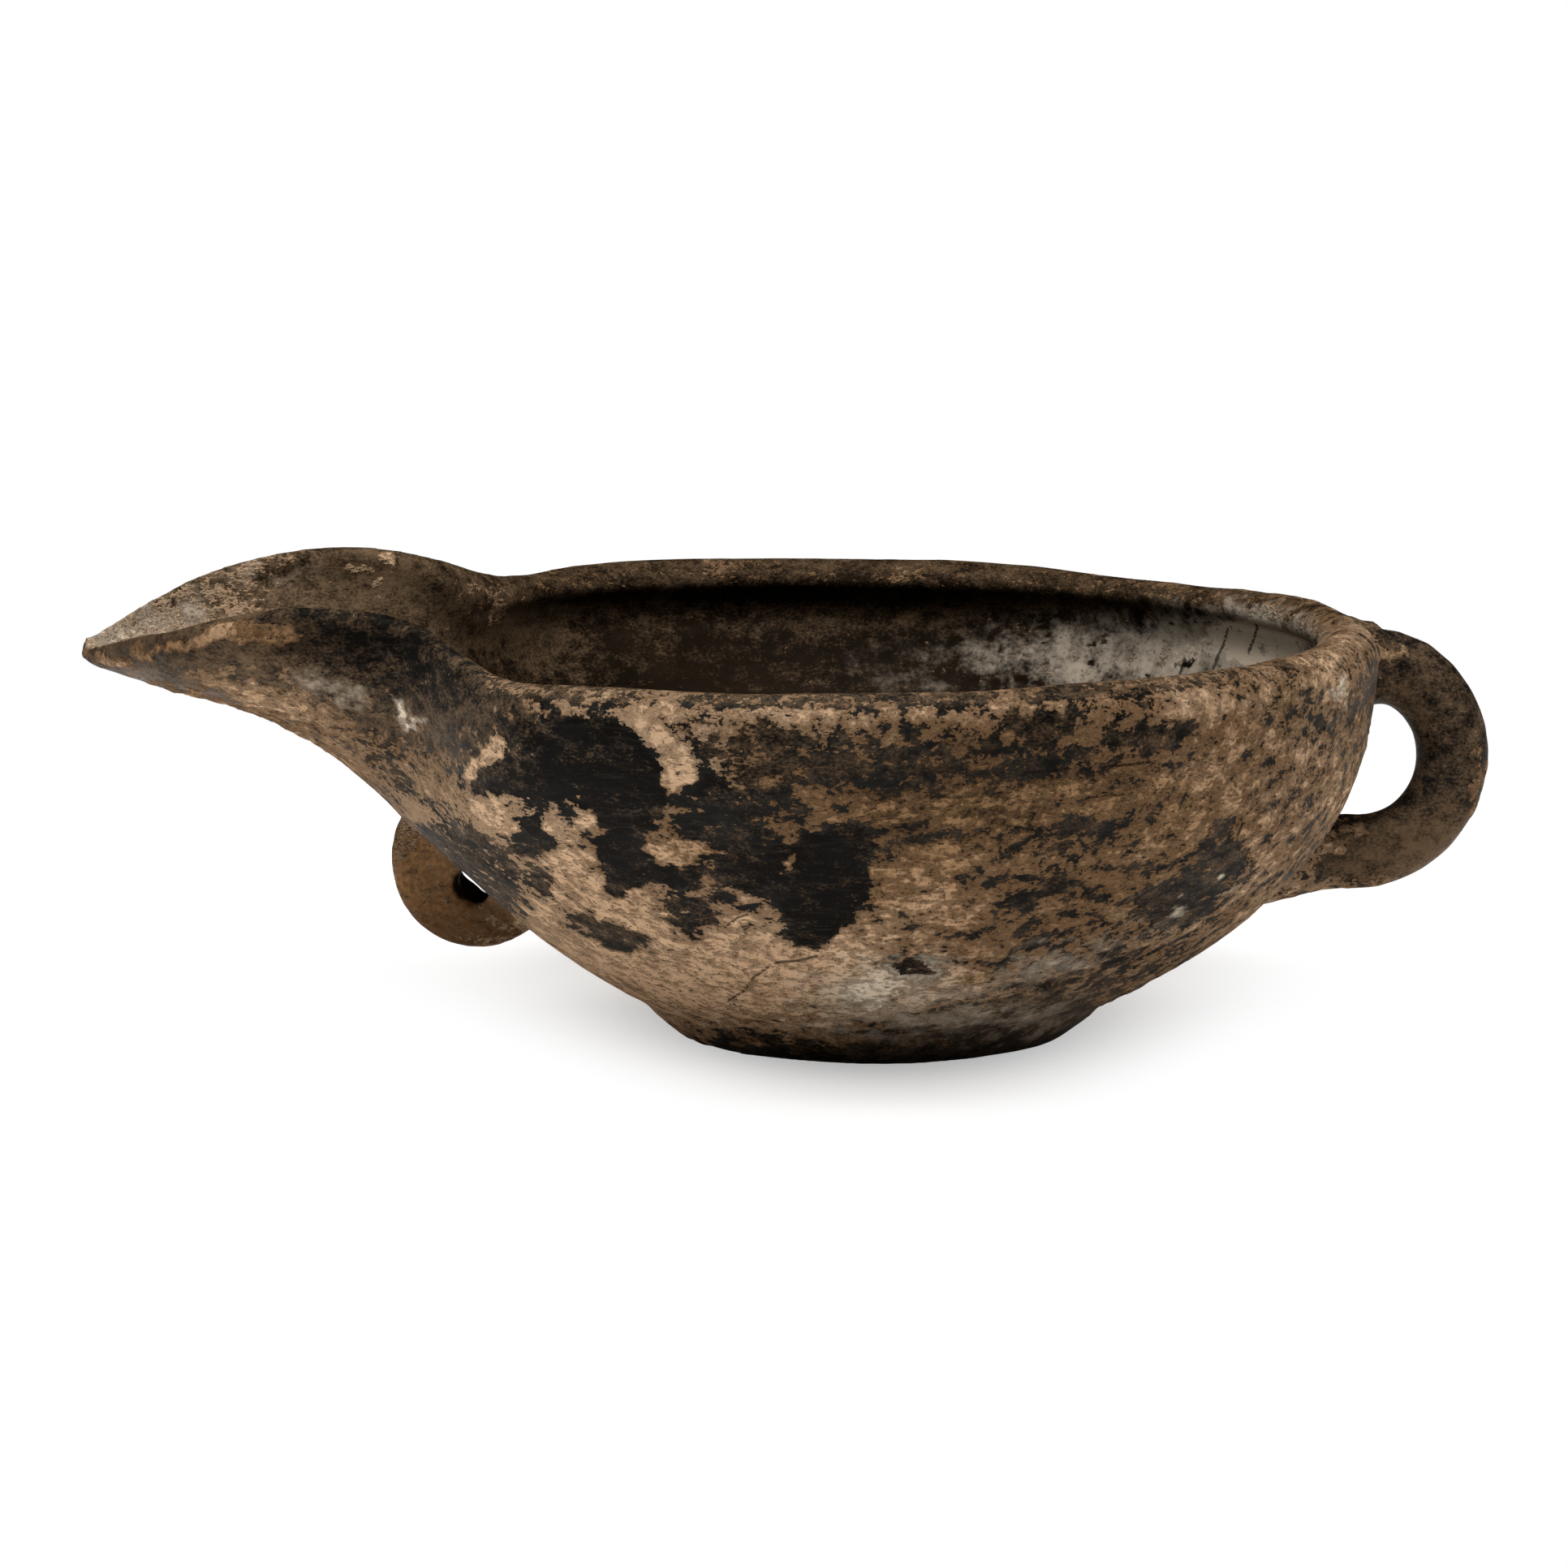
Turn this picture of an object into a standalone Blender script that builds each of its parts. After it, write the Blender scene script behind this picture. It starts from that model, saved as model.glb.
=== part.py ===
"""Spouted dipper cup of hand-built, burnished black earthenware.

Every size below is in millimetres and add_part scales a finished piece to metres.
The origin is the middle of the foot's underside, with +Z up, the spout to -X and the loop handle to +X.
A potter forms these pieces one by one and lutes them together with wet clay, so each is its own object here,
and JOINT is the seam that is left between neighbours.
"""
import math

import bmesh
import bpy
import numpy as np
from mathutils import Matrix, Vector
from mathutils.geometry import interpolate_bezier

MM = 0.001
JOINT = 0.3

# Foot: a low pad of clay under the bowl.
FOOT_R = 33.6
FOOT_NECK_R = 39.0
FOOT_H = 6.0
FOOT_EDGE = 1.5

# Bowl: one outer curve from the foot to the rim, and one wall thickness.
RIM_R = 95.4
RIM_TOP = 70.5
WALL = 5.2
BELLY_OUT = 34.0
BELLY_UP = 18.0
SHOULDER_IN = 3.0
SHOULDER_DOWN = 14.0
COURSE_Z = 30.0
MOUTH_LEAN = 10.4

# Rim: a thick rolled coil on top of the upper wall.
LIP = 9.0
RIM_SEAT = 60.0

# Spout: a wide open trough set in the gap of the upper wall and the rim.
SPOUT_ROOT = 52.0
SPOUT_TIP = 134.8
WAIST_OUT = 76.0
WAIST_HALF = 48.3
WAIST_TOP = 76.0
CREST_OUT = 91.0
CREST_HALF = 44.2
CREST_TOP = 78.6
BILL_OUT = 122.0
BILL_HALF = 33.2
BILL_TOP = 72.4
NOSE_OUT = 131.0
NOSE_HALF = 22.0
TIP_HALF = 6.0
TIP_TOP = 67.0
TIP_KEEL = 64.3
NOTCH_OUT = 65.0
NOTCH_HALF = 66.0
KEEL_LEAVES = 80.0
KEEL_EASE = 13.0
KEEL_CLIMB = 15.5
BILL_EASE = 27.0
BILL_CLIMB = 4.6
SPOUT_LIP = 4.6
TIP_LIP = 2.1

# Handle: a round rod bent to half a ring, with straight ends that run to the wall.
ROD = 12.4
HANDLE_BEND = 16.5
HANDLE_STAND = 2.1
HANDLE_Z = 44.4
HANDLE_TURN_DEG = 10.0

# Lutes: collars of soft clay pressed round the ends of the handle.
LUTE_EDGE = 0.8
LUTE_FLARE = 1.9
LUTE_REACH = 4.0
LUTE_TOE = 1.1

# Lug: a round tab with a cord hole, low on the wall under the spout.
LUG_R = 15.0
LUG_THICK = 9.0
LUG_ROUND = 3.0
LUG_STAND = 1.9
LUG_Z = 28.0
LUG_HOLE = 8.4
LUG_HOLE_DROP = 1.4
LUG_WEB = 1.0
LUG_TURN_DEG = 165.0

# Fineness of the facets.
TURN_STEPS = 64
CURVE_STEPS = 24
SIDE_STEPS = 7
STATIONS = 24
LIP_STEPS = 4

BURNISHED = (0.030, 0.026, 0.022)
SOILED = (0.135, 0.088, 0.052)
RUSTY = (0.120, 0.066, 0.036)


def smooth(value):
    """Ease from 0 to 1, flat at both ends."""
    value = min(max(value, 0.0), 1.0)
    return value * value * (3.0 - 2.0 * value)


def lean(z):
    """How far the mouth is drawn toward the spout at height z."""
    return MOUTH_LEAN * smooth((z - COURSE_Z) / (RIM_TOP - COURSE_Z))


def bowl_curve(inset):
    """Radii and heights of the bowl's curve, set in from the outer face by inset."""
    neck = Vector((FOOT_NECK_R, FOOT_H))
    rim = Vector((RIM_R, RIM_TOP - LIP / 2.0))
    belly = neck + Vector((BELLY_OUT, BELLY_UP))
    shoulder = rim - Vector((SHOULDER_IN, SHOULDER_DOWN))
    points = interpolate_bezier(neck, belly, shoulder, rim, CURVE_STEPS)
    radii = np.array([p.x for p in points])
    heights = np.array([p.y for p in points])
    across = np.gradient(radii)
    along = np.gradient(heights)
    length = np.hypot(across, along)
    return radii - inset * along / length, heights + inset * across / length


OUTER = bowl_curve(0.0)
INNER = bowl_curve(WALL)
SEAT = bowl_curve(-JOINT)


def radius_at(curve, z):
    return float(np.interp(z, curve[1], curve[0]))


def between(curve, low, high):
    """Points (radius, height) of a bowl curve from one height to another."""
    middle = [(r, z) for r, z in zip(*curve) if low + 0.4 < z < high - 0.4]
    return [(radius_at(curve, low), low)] + middle + [(radius_at(curve, high), high)]


def arc(radius, x, z, start, end, steps):
    """Points on a round corner, with the angles in degrees from +X toward +Z."""
    angles = [math.radians(start + (end - start) * k / steps) for k in range(steps + 1)]
    return [(x + radius * math.cos(a), z + radius * math.sin(a)) for a in angles]


def clay(name, color, roughness):
    material = bpy.data.materials.new(name)
    material.use_nodes = True
    shader = material.node_tree.nodes["Principled BSDF"]
    shader.inputs["Base Color"].default_value = (*color, 1.0)
    shader.inputs["Roughness"].default_value = roughness
    shader.inputs["Metallic"].default_value = 0.0
    material.diffuse_color = (*color, 1.0)
    return material


def add_part(name, bm, material):
    """Scale a finished piece to metres and link it as a named object."""
    bmesh.ops.remove_doubles(bm, verts=bm.verts, dist=0.02)
    bmesh.ops.recalc_face_normals(bm, faces=bm.faces)
    bmesh.ops.scale(bm, vec=(MM, MM, MM), verts=bm.verts)
    mesh = bpy.data.meshes.new(name)
    bm.to_mesh(mesh)
    bm.free()
    part = bpy.data.objects.new(name, mesh)
    bpy.context.collection.objects.link(part)
    if material is not None:
        mesh.materials.append(material)
    return part


def add_cutter(name, bm):
    cutter = add_part(name, bm, None)
    cutter.hide_render = True
    cutter.display_type = "WIRE"
    return cutter


def cut_away(part, cutter):
    cut = part.modifiers.new("cut by " + cutter.name, "BOOLEAN")
    cut.operation = "DIFFERENCE"
    cut.solver = "EXACT"
    cut.object = cutter


def turned(section, closed):
    """Spin a section, given as (radius, height), once round the upright axis."""
    bm = bmesh.new()
    verts = [bm.verts.new((r, 0.0, z)) for r, z in section]
    ends = verts[1:] + verts[:1] if closed else verts[1:]
    edges = [bm.edges.new(pair) for pair in zip(verts, ends)]
    bmesh.ops.spin(bm, geom=verts + edges, cent=(0, 0, 0), axis=(0, 0, 1),
                   angle=2.0 * math.pi, steps=TURN_STEPS, use_merge=True)
    bmesh.ops.remove_doubles(bm, verts=bm.verts, dist=0.02)
    return bm


def drawn_to_spout(bm):
    """Lean a turned piece toward the spout, more toward the rim."""
    for vert in bm.verts:
        vert.co.x -= lean(vert.co.z)


def slice_off(bm, point, outward):
    """Cut a solid by a plane, drop what lies outward of it and close the cut."""
    geometry = bm.verts[:] + bm.edges[:] + bm.faces[:]
    bmesh.ops.bisect_plane(bm, geom=geometry, dist=0.001, plane_co=point, plane_no=outward, clear_outer=True)
    open_edges = [edge for edge in bm.edges if edge.is_boundary]
    bmesh.ops.holes_fill(bm, edges=open_edges, sides=0)


def bridged(loops):
    """Bridge a row of closed loops with equal counts and cap both ends."""
    bm = bmesh.new()
    rings = []
    for loop in loops:
        verts = [bm.verts.new(point) for point in loop]
        rings.append([bm.edges.new(pair) for pair in zip(verts, verts[1:] + verts[:1])])
    for ring, following in zip(rings, rings[1:]):
        bmesh.ops.bridge_loops(bm, edges=ring + following)
    bmesh.ops.holes_fill(bm, edges=rings[0] + rings[-1], sides=0)
    return bm


def foot_pad(material):
    edge = arc(FOOT_EDGE, FOOT_R - FOOT_EDGE, FOOT_EDGE, -90, 0, 4)[:-1]
    neck = [(FOOT_NECK_R - FOOT_EDGE / 2.0, FOOT_H - FOOT_EDGE), (FOOT_NECK_R, FOOT_H)]
    section = [(0.0, 0.0)] + edge + neck + [(0.0, FOOT_H)]
    return add_part("foot_pad", turned(section, False), material)


def lower_bowl(material):
    top = COURSE_Z - JOINT / 2.0
    base = FOOT_H + JOINT
    outside = between(OUTER, base, top)
    floor = INNER[1][0]
    inside = between(INNER, floor, top)
    section = [(0.0, base)] + outside + inside[::-1] + [(inside[0][0] * 0.55, floor - 0.7), (0.0, floor - 0.9)]
    return add_part("lower_bowl", turned(section, False), material)


def open_ring(name, section, material):
    """A ring of the bowl that is left open where the spout goes in."""
    bm = turned(section, True)
    drawn_to_spout(bm)
    slice_off(bm, (-SPOUT_ROOT + JOINT / 2.0, 0, 0), (-1, 0, 0))
    return add_part(name, bm, material)


def upper_wall(material):
    low = COURSE_Z + JOINT / 2.0
    high = RIM_SEAT - JOINT / 2.0
    return open_ring("upper_wall", between(OUTER, low, high) + between(INNER, low, high)[::-1], material)


def rim_coil(material):
    low = RIM_SEAT + JOINT / 2.0
    crown = LIP / 2.0
    outside = between(OUTER, low, RIM_TOP - crown)
    roll = arc(crown, RIM_R - crown, RIM_TOP - crown, 0, 180, 8)
    under = [(RIM_R - LIP + 0.3, RIM_SEAT + crown * 0.7), (radius_at(INNER, low), low)]
    return open_ring("rim_coil", outside[:-1] + roll + under, material)


def through(stops, x):
    """Smooth curve through a few (x, value) stops."""
    xs = [stop[0] for stop in stops]
    ys = [stop[1] for stop in stops]
    slopes = np.gradient(ys, xs)
    k = min(max(int(np.searchsorted(xs, x)) - 1, 0), len(xs) - 2)
    span = xs[k + 1] - xs[k]
    t = (x - xs[k]) / span
    start = (1 + 2 * t) * (1 - t) ** 2 * ys[k] + t * (1 - t) ** 2 * span * slopes[k]
    end = t * t * (3 - 2 * t) * ys[k + 1] - t * t * (1 - t) * span * slopes[k + 1]
    return start + end


def bowl_half(curve, out, z):
    """Half width of the bowl at a distance out along the spout, at height z."""
    radius = radius_at(curve, z)
    return math.sqrt(max(radius ** 2 - (out - lean(z)) ** 2, 0.0))


def bowl_keel(curve, out):
    """Height at which the bowl's curve reaches a distance out along the spout."""
    reach = curve[0] + np.array([lean(z) for z in curve[1]])
    return float(np.interp(out, reach, curve[1]))


def spout_keel(out, rise):
    """Underside of the spout's middle, raised by rise for the floor inside it."""
    start = Vector((KEEL_LEAVES, bowl_keel(OUTER, KEEL_LEAVES)))
    end = Vector((SPOUT_TIP, TIP_KEEL))
    points = interpolate_bezier(start, start + Vector((KEEL_EASE, KEEL_CLIMB)), end - Vector((BILL_EASE, BILL_CLIMB)), end, CURVE_STEPS)
    return rise + float(np.interp(out, [p.x for p in points], [p.y for p in points]))


def floor_rise(out):
    """Depth of clay under the channel, thinner toward the tip."""
    root = bowl_keel(INNER, KEEL_LEAVES) - bowl_keel(OUTER, KEEL_LEAVES)
    return root + (TIP_LIP - root) * smooth((out - KEEL_LEAVES) / (CREST_OUT - KEEL_LEAVES + BILL_EASE))


def ring_half(out):
    """Half width of the rim's crown at a distance out along the spout."""
    return math.sqrt((RIM_R - LIP / 2.0) ** 2 - (out - MOUTH_LEAN) ** 2)


def lip_half(out):
    """Half width between the crowns of the two lips."""
    before = SPOUT_ROOT - LIP
    return through([(before, ring_half(before)), (SPOUT_ROOT, ring_half(SPOUT_ROOT)), (NOTCH_OUT, NOTCH_HALF),
                    (WAIST_OUT, WAIST_HALF), (CREST_OUT, CREST_HALF), (BILL_OUT, BILL_HALF),
                    (NOSE_OUT, NOSE_HALF), (SPOUT_TIP, TIP_HALF)], out)


def lip_spread(out):
    """How much wider a section cuts the lip than straight across it."""
    step = JOINT
    slope = (lip_half(out) - lip_half(out - step)) / step
    return math.hypot(1.0, slope)


def lip_top(out):
    return through([(SPOUT_ROOT, RIM_TOP), (NOTCH_OUT, RIM_TOP), (WAIST_OUT, WAIST_TOP),
                    (CREST_OUT, CREST_TOP), (BILL_OUT, BILL_TOP), (SPOUT_TIP, TIP_TOP)], out)


def lip_thickness(out):
    slim = LIP + (SPOUT_LIP - LIP) * smooth((out - SPOUT_ROOT) / (CREST_OUT - SPOUT_ROOT))
    return slim + (TIP_LIP - SPOUT_LIP) * smooth((out - CREST_OUT) / (SPOUT_TIP - CREST_OUT))


def spout_side(out, curve, half, keel, top, tuck):
    """Points (half width, height) up one side of the spout, from its keel to its lip.

    Over the height tuck below the lip the side eases to the lip's own face, half wide.
    """
    blend = smooth((out - SPOUT_ROOT) / (KEEL_LEAVES - SPOUT_ROOT))
    heights = [keel + (top - keel) * (k / SIDE_STEPS) ** 1.7 for k in range(SIDE_STEPS)]
    gap = top - heights[-1]
    heights += [top - 0.66 * gap, top - 0.33 * gap, top]
    points = []
    for z in heights:
        share = (z - keel) / (top - keel)
        trough = half * math.sqrt(max(1.0 - (1.0 - share) ** 2.0, 0.0))
        lifted = blend * smooth((z - COURSE_Z) / (0.4 * (RIM_TOP - COURSE_Z)))
        mix = 1.0 if out >= KEEL_LEAVES else lifted
        width = trough if mix == 1.0 else bowl_half(curve, out, z) * (1.0 - mix) + trough * mix
        if width > half:
            width += (half - width) * smooth((z - top + tuck) / (0.6 * tuck))
        points.append((width, z))
    return points


def spout_section(out, hollow, grow):
    """Closed loop of the spout's section at a distance out, as a solid or with its channel."""
    thick = lip_thickness(out)
    top = lip_top(out)
    middle = lip_half(out)
    across = min(thick * lip_spread(out) / 2.0, 0.7 * middle)
    keel = bowl_keel(OUTER, out) if out < KEEL_LEAVES else spout_keel(out, 0.0)
    edge = top - thick / 2.0
    tuck = thick * (0.5 + smooth((out - SPOUT_ROOT) / (NOTCH_OUT - SPOUT_ROOT)))
    outside = spout_side(out, OUTER, middle + across, keel, edge, tuck)
    outside = [(y + grow * (k > 0), z - grow * (z < edge)) for k, (y, z) in enumerate(outside)]
    crown = arc(1.0, 0.0, 0.0, 0, 180, LIP_STEPS)[1:-1]
    lip = [(middle + across * y, edge + thick / 2.0 * z) for y, z in crown]
    floor = bowl_keel(INNER, out) if out < KEEL_LEAVES else spout_keel(out, floor_rise(out))
    inside = spout_side(out, INNER, middle - across, floor, edge, tuck)
    near = outside + (lip + inside[::-1] if hollow else [])
    loop = [(-out, -y, z) for y, z in near]
    return loop + [(-out, y, z) for y, z in near[::-1] if y > 0.001]


def spout_stations():
    """Distances out along the spout, closer together toward the blunt tip."""
    first = SPOUT_ROOT + JOINT / 2.0
    shares = [math.sin(0.5 * math.pi * k / STATIONS) ** 1.15 for k in range(STATIONS + 1)]
    return [first + (SPOUT_TIP - first) * share for share in shares]


def spout_trough(material):
    bm = bridged([spout_section(out, True, 0.0) for out in spout_stations()])
    slice_off(bm, (0, 0, COURSE_Z + JOINT / 2.0), (0, 0, -1))
    return add_part("spout_trough", bm, material)


def bowl_cutter():
    """Solid of the bowl's outer form with the seam added, to seat what is luted on its wall."""
    crown = LIP / 2.0 + JOINT
    outside = between(SEAT, SEAT[1][0], RIM_TOP - LIP / 2.0)
    roll = arc(crown, RIM_R - LIP / 2.0, RIM_TOP - LIP / 2.0, 0, 90, 5)
    section = [(0.0, SEAT[1][0])] + outside[:-1] + roll + [(0.0, RIM_TOP + JOINT)]
    bm = turned(section, False)
    drawn_to_spout(bm)
    return add_cutter("bowl_cutter", bm)


def spout_cutter():
    """Solid of the spout's outer form with the seam added, for the lug that reaches up to it."""
    return add_cutter("spout_cutter", bridged([spout_section(out, False, JOINT) for out in spout_stations()]))


def rod_loop(x, z, angle, radius):
    """Circle of the handle's rod, turned by angle about the bend's axis."""
    loop = []
    for k in range(16):
        a = 2.0 * math.pi * k / 16
        across = radius * math.cos(a)
        loop.append((x + across * math.sin(angle), radius * math.sin(a), z + across * math.cos(angle)))
    return loop


def turned_out(part, degrees):
    """Swing a piece made on the +X side round the bowl to its place."""
    part.rotation_euler.z = math.radians(degrees)
    return part


def wall_at(curve, z):
    """Distance of the wall from the upright axis on the handle's side."""
    return radius_at(curve, z) - lean(z)


def loop_handle(material, seat):
    top = HANDLE_Z + HANDLE_BEND
    low = HANDLE_Z - HANDLE_BEND
    centre = wall_at(OUTER, top) + HANDLE_STAND
    inside_top = wall_at(INNER, top)
    inside_low = wall_at(INNER, low)
    loops = [rod_loop(inside_top, top, 0.0, ROD / 2.0)]
    for k in range(13):
        angle = math.pi * k / 12
        x = centre + HANDLE_BEND * math.sin(angle)
        z = HANDLE_Z + HANDLE_BEND * math.cos(angle)
        loops.append(rod_loop(x, z, angle, ROD / 2.0))
    loops.append(rod_loop(inside_low, low, math.pi, ROD / 2.0))
    part = turned_out(add_part("loop_handle", bridged(loops), material), HANDLE_TURN_DEG)
    cut_away(part, seat)
    return part


def lute(name, z, reach, material, seat):
    """Collar round one end of the handle, flared onto the wall and bored for the rod.

    It reaches past the wall beside the rod's upper side, where a leaning wall comes out furthest.
    """
    wall = wall_at(OUTER, z)
    bore = ROD / 2.0 + JOINT
    inside = wall - 2.0 * ROD
    end = max(wall, wall_at(OUTER, z + bore)) + reach
    bend = wall + 0.3 * (end - wall)
    flare = [(wall, bore + LUTE_FLARE), (bend, bore + 0.5 * LUTE_FLARE), (end, bore + LUTE_EDGE)]
    section = [(inside, bore)] + [(inside, bore + LUTE_FLARE)] + flare + [(end, bore)]
    bm = bmesh.new()
    verts = [bm.verts.new((x, 0.0, z + r)) for x, r in section]
    edges = [bm.edges.new(pair) for pair in zip(verts, verts[1:] + verts[:1])]
    bmesh.ops.spin(bm, geom=verts + edges, cent=(0, 0, z), axis=(1, 0, 0),
                   angle=2.0 * math.pi, steps=20, use_merge=True)
    part = turned_out(add_part(name, bm, material), HANDLE_TURN_DEG)
    cut_away(part, seat)
    return part


def disc(radius, thickness, x, z):
    """Round slab that faces +Y and -Y."""
    bm = bmesh.new()
    turn = Matrix.Translation((x, 0, z)) @ Matrix.Rotation(math.radians(90), 4, "X")
    bmesh.ops.create_cone(bm, cap_ends=True, segments=32, radius1=radius, radius2=radius, depth=thickness, matrix=turn)
    return bm


def off_wall(z, stand):
    """Point that stands off the bowl's wall, square to it: distance from the axis, and height."""
    lean_out = (radius_at(OUTER, z + JOINT) - radius_at(OUTER, z - JOINT)) / (2.0 * JOINT)
    length = math.hypot(1.0, lean_out)
    return radius_at(OUTER, z) + stand / length, z - stand * lean_out / length


def pierced_lug(material, seats):
    bm = disc(LUG_R, LUG_THICK, *off_wall(LUG_Z, LUG_STAND))
    edges = [edge for edge in bm.edges if abs(edge.verts[0].co.y - edge.verts[1].co.y) < 0.1]
    bmesh.ops.bevel(bm, geom=edges, offset=LUG_ROUND, segments=3, profile=0.5, affect="EDGES")
    part = turned_out(add_part("pierced_lug", bm, material), LUG_TURN_DEG)
    place = off_wall(LUG_Z - LUG_HOLE_DROP, LUG_WEB + LUG_HOLE / 2.0)
    hole = add_cutter("lug_hole_cutter", disc(LUG_HOLE / 2.0, 3.0 * LUG_THICK, *place))
    turned_out(hole, LUG_TURN_DEG)
    for cutter in seats + [hole]:
        cut_away(part, cutter)
    return part


def main():
    for stale in list(bpy.data.objects):
        bpy.data.objects.remove(stale, do_unlink=True)
    foot_pad(clay("soiled clay of the foot", SOILED, 0.85))
    lower_bowl(clay("burnished clay of the lower bowl", BURNISHED, 0.55))
    upper_wall(clay("soiled clay of the upper wall", SOILED, 0.80))
    rim_coil(clay("burnished clay of the rim", BURNISHED, 0.50))
    spout_trough(clay("burnished clay of the spout", BURNISHED, 0.55))
    seat = bowl_cutter()
    loop_handle(clay("burnished clay of the handle", BURNISHED, 0.60), seat)
    lute("upper_lute", HANDLE_Z + HANDLE_BEND, LUTE_REACH, clay("luting clay at the rim", SOILED, 0.80), seat)
    lute("lower_lute", HANDLE_Z - HANDLE_BEND, LUTE_TOE, clay("luting clay at the belly", SOILED, 0.80), seat)
    pierced_lug(clay("rusty clay of the lug", RUSTY, 0.75), [seat, spout_cutter()])


main()
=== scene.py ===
# %% [markdown]
# # A spouted dipper cup of burnished black earthenware
# This lesson gives the CAD frame of a hand-built dipper cup its looks. The real cup was pressed and
# coiled by hand, burnished with a pebble, fired black and then buried, so tan soil has dried on it as a
# flaking crust. Each cell first says what the real thing is, and then makes it.

# %% Load the frame
import math
import bpy
import numpy as np
from mathutils import Matrix, Vector, noise
from mathutils.kdtree import KDTree


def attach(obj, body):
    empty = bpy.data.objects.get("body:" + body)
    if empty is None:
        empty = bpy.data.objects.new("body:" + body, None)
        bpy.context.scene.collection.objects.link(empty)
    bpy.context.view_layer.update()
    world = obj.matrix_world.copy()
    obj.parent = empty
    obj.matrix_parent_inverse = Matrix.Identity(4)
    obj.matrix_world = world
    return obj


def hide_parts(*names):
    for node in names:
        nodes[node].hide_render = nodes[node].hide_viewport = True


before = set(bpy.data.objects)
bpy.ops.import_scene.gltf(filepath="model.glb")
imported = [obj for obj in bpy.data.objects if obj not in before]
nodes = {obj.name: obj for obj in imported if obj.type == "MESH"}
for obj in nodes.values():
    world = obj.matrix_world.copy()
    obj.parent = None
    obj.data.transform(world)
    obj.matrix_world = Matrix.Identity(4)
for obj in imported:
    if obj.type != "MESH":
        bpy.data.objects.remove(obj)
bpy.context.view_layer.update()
MM = 0.001
print("CAD nodes:", sorted(nodes))

# %% [markdown]
# ## The photograph's camera
# The camera is set first, because the patches of soil are later placed by where they are seen in the
# photograph. It was found by fitting the ellipses of the rim and the foot: a long lens, a little above
# the rim, turned two degrees. One pixel of the photograph is taken as 0.14 mm at the middle of the
# foot. That is an estimate from how thick a handle, a rim and a wall are, since it shows no ruler.

# %% Set up the camera
PHOTO = 1932
FOCAL = 8000.0
PIXEL = 0.14 * MM
FOOT_AT = (1078, 1266)
TURN = math.radians(-2.0)
TILT = math.radians(8.65)
SENSOR = 36.0

back = Vector((math.sin(TURN) * math.cos(TILT), -math.cos(TURN) * math.cos(TILT), math.sin(TILT)))
right = Vector((math.cos(TURN), math.sin(TURN), 0.0))
up = back.cross(right)
eye = back * FOCAL * PIXEL
eye -= right * (FOOT_AT[0] - PHOTO / 2) * PIXEL
eye += up * (FOOT_AT[1] - PHOTO / 2) * PIXEL
place = Matrix((right, up, back)).transposed().to_4x4()
place.translation = eye
bpy.ops.object.camera_add()
camera = bpy.context.object
camera.matrix_world = place
camera.data.sensor_width = SENSOR
camera.data.lens = FOCAL / PHOTO * SENSOR
camera.data.clip_end = 20.0
bpy.context.scene.camera = camera
print("lens in mm:", round(camera.data.lens, 1), "camera at:", [round(c, 3) for c in eye])

# %% [markdown]
# ## Two small tools
# Almost every step selects one object, and finishes a modifier by applying it. These two helpers keep
# the later cells short.

# %% Helpers for selecting and applying
def take(*objects):
    """Select these objects alone, with the last one active."""
    bpy.ops.object.select_all(action="DESELECT")
    for obj in objects:
        obj.select_set(True)
        bpy.context.view_layer.objects.active = obj


def settle(obj):
    """Apply an object's modifiers in order."""
    take(obj)
    for modifier in list(obj.modifiers):
        bpy.ops.object.modifier_apply(modifier=modifier.name)


# %% [markdown]
# ## One skin of clay
# The potter luted the courses, the rim, the spout and the handle together and wiped every joint away
# with a wet hand. So the seams of the frame must not show. The first step joins copies of its solids
# and merges the points that they share.

# %% Join copies of the frame's solids
take(*nodes.values())
bpy.ops.object.duplicate()
bpy.ops.object.join()
pot = bpy.context.object
pot.name = "pot"
pot.parent = None
for key in list(pot.keys()):
    del pot[key]
pot.data.materials.clear()
bpy.ops.object.mode_set(mode="EDIT")
bpy.ops.mesh.select_all(action="SELECT")
bpy.ops.mesh.remove_doubles(threshold=0.01 * MM)
bpy.ops.object.mode_set(mode="OBJECT")
print("joined solids:", len(nodes))

# %% [markdown]
# The cord hole in the lug looks black, with a sliver of light, because shade lies deep in it. So balls
# of a few millimetres are put on its outer and lower side to narrow it, and the skin will run over them;
# they and the hole are later painted black, a painted shade. Each is a ball, with its middle and its radius
# in mm.

# %% Put balls in the cord hole, to be painted black as shade
HOLE_BALLS = [
    ((-70.8, 21.0, 20.2), 2.7), ((-72.4, 21.4, 21.6), 2.2), ((-69.1, 20.5, 18.8), 2.3),
    ((-74.0, 16.8, 22.4), 2.0), ((-72.2, 16.3, 19.6), 2.1), ((-72.8, 16.4, 25.8), 1.9),
]
balls = []
for at, radius in HOLE_BALLS:
    bpy.ops.mesh.primitive_ico_sphere_add(subdivisions=3, radius=radius * MM, location=Vector(at) * MM)
    balls.append(bpy.context.object)
take(*balls, pot)
bpy.ops.object.join()
print("clods:", len(HOLE_BALLS))

# %% [markdown]
# The joined solids still have gaps at the seams. Swelling them by the width of a seam closes the gaps.
# A remesh with small voxels then wraps everything in one closed skin.

# %% Wrap them in one skin
SEAM = 0.3 * MM
SKIN = 0.72 * MM

swell = pot.modifiers.new("swell", "DISPLACE")
swell.strength = SEAM
swell.mid_level = 0.0
skin = pot.modifiers.new("skin", "REMESH")
skin.mode = "VOXEL"
skin.voxel_size = SKIN
settle(pot)
print("skin:", len(pot.data.polygons), "faces")

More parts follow.
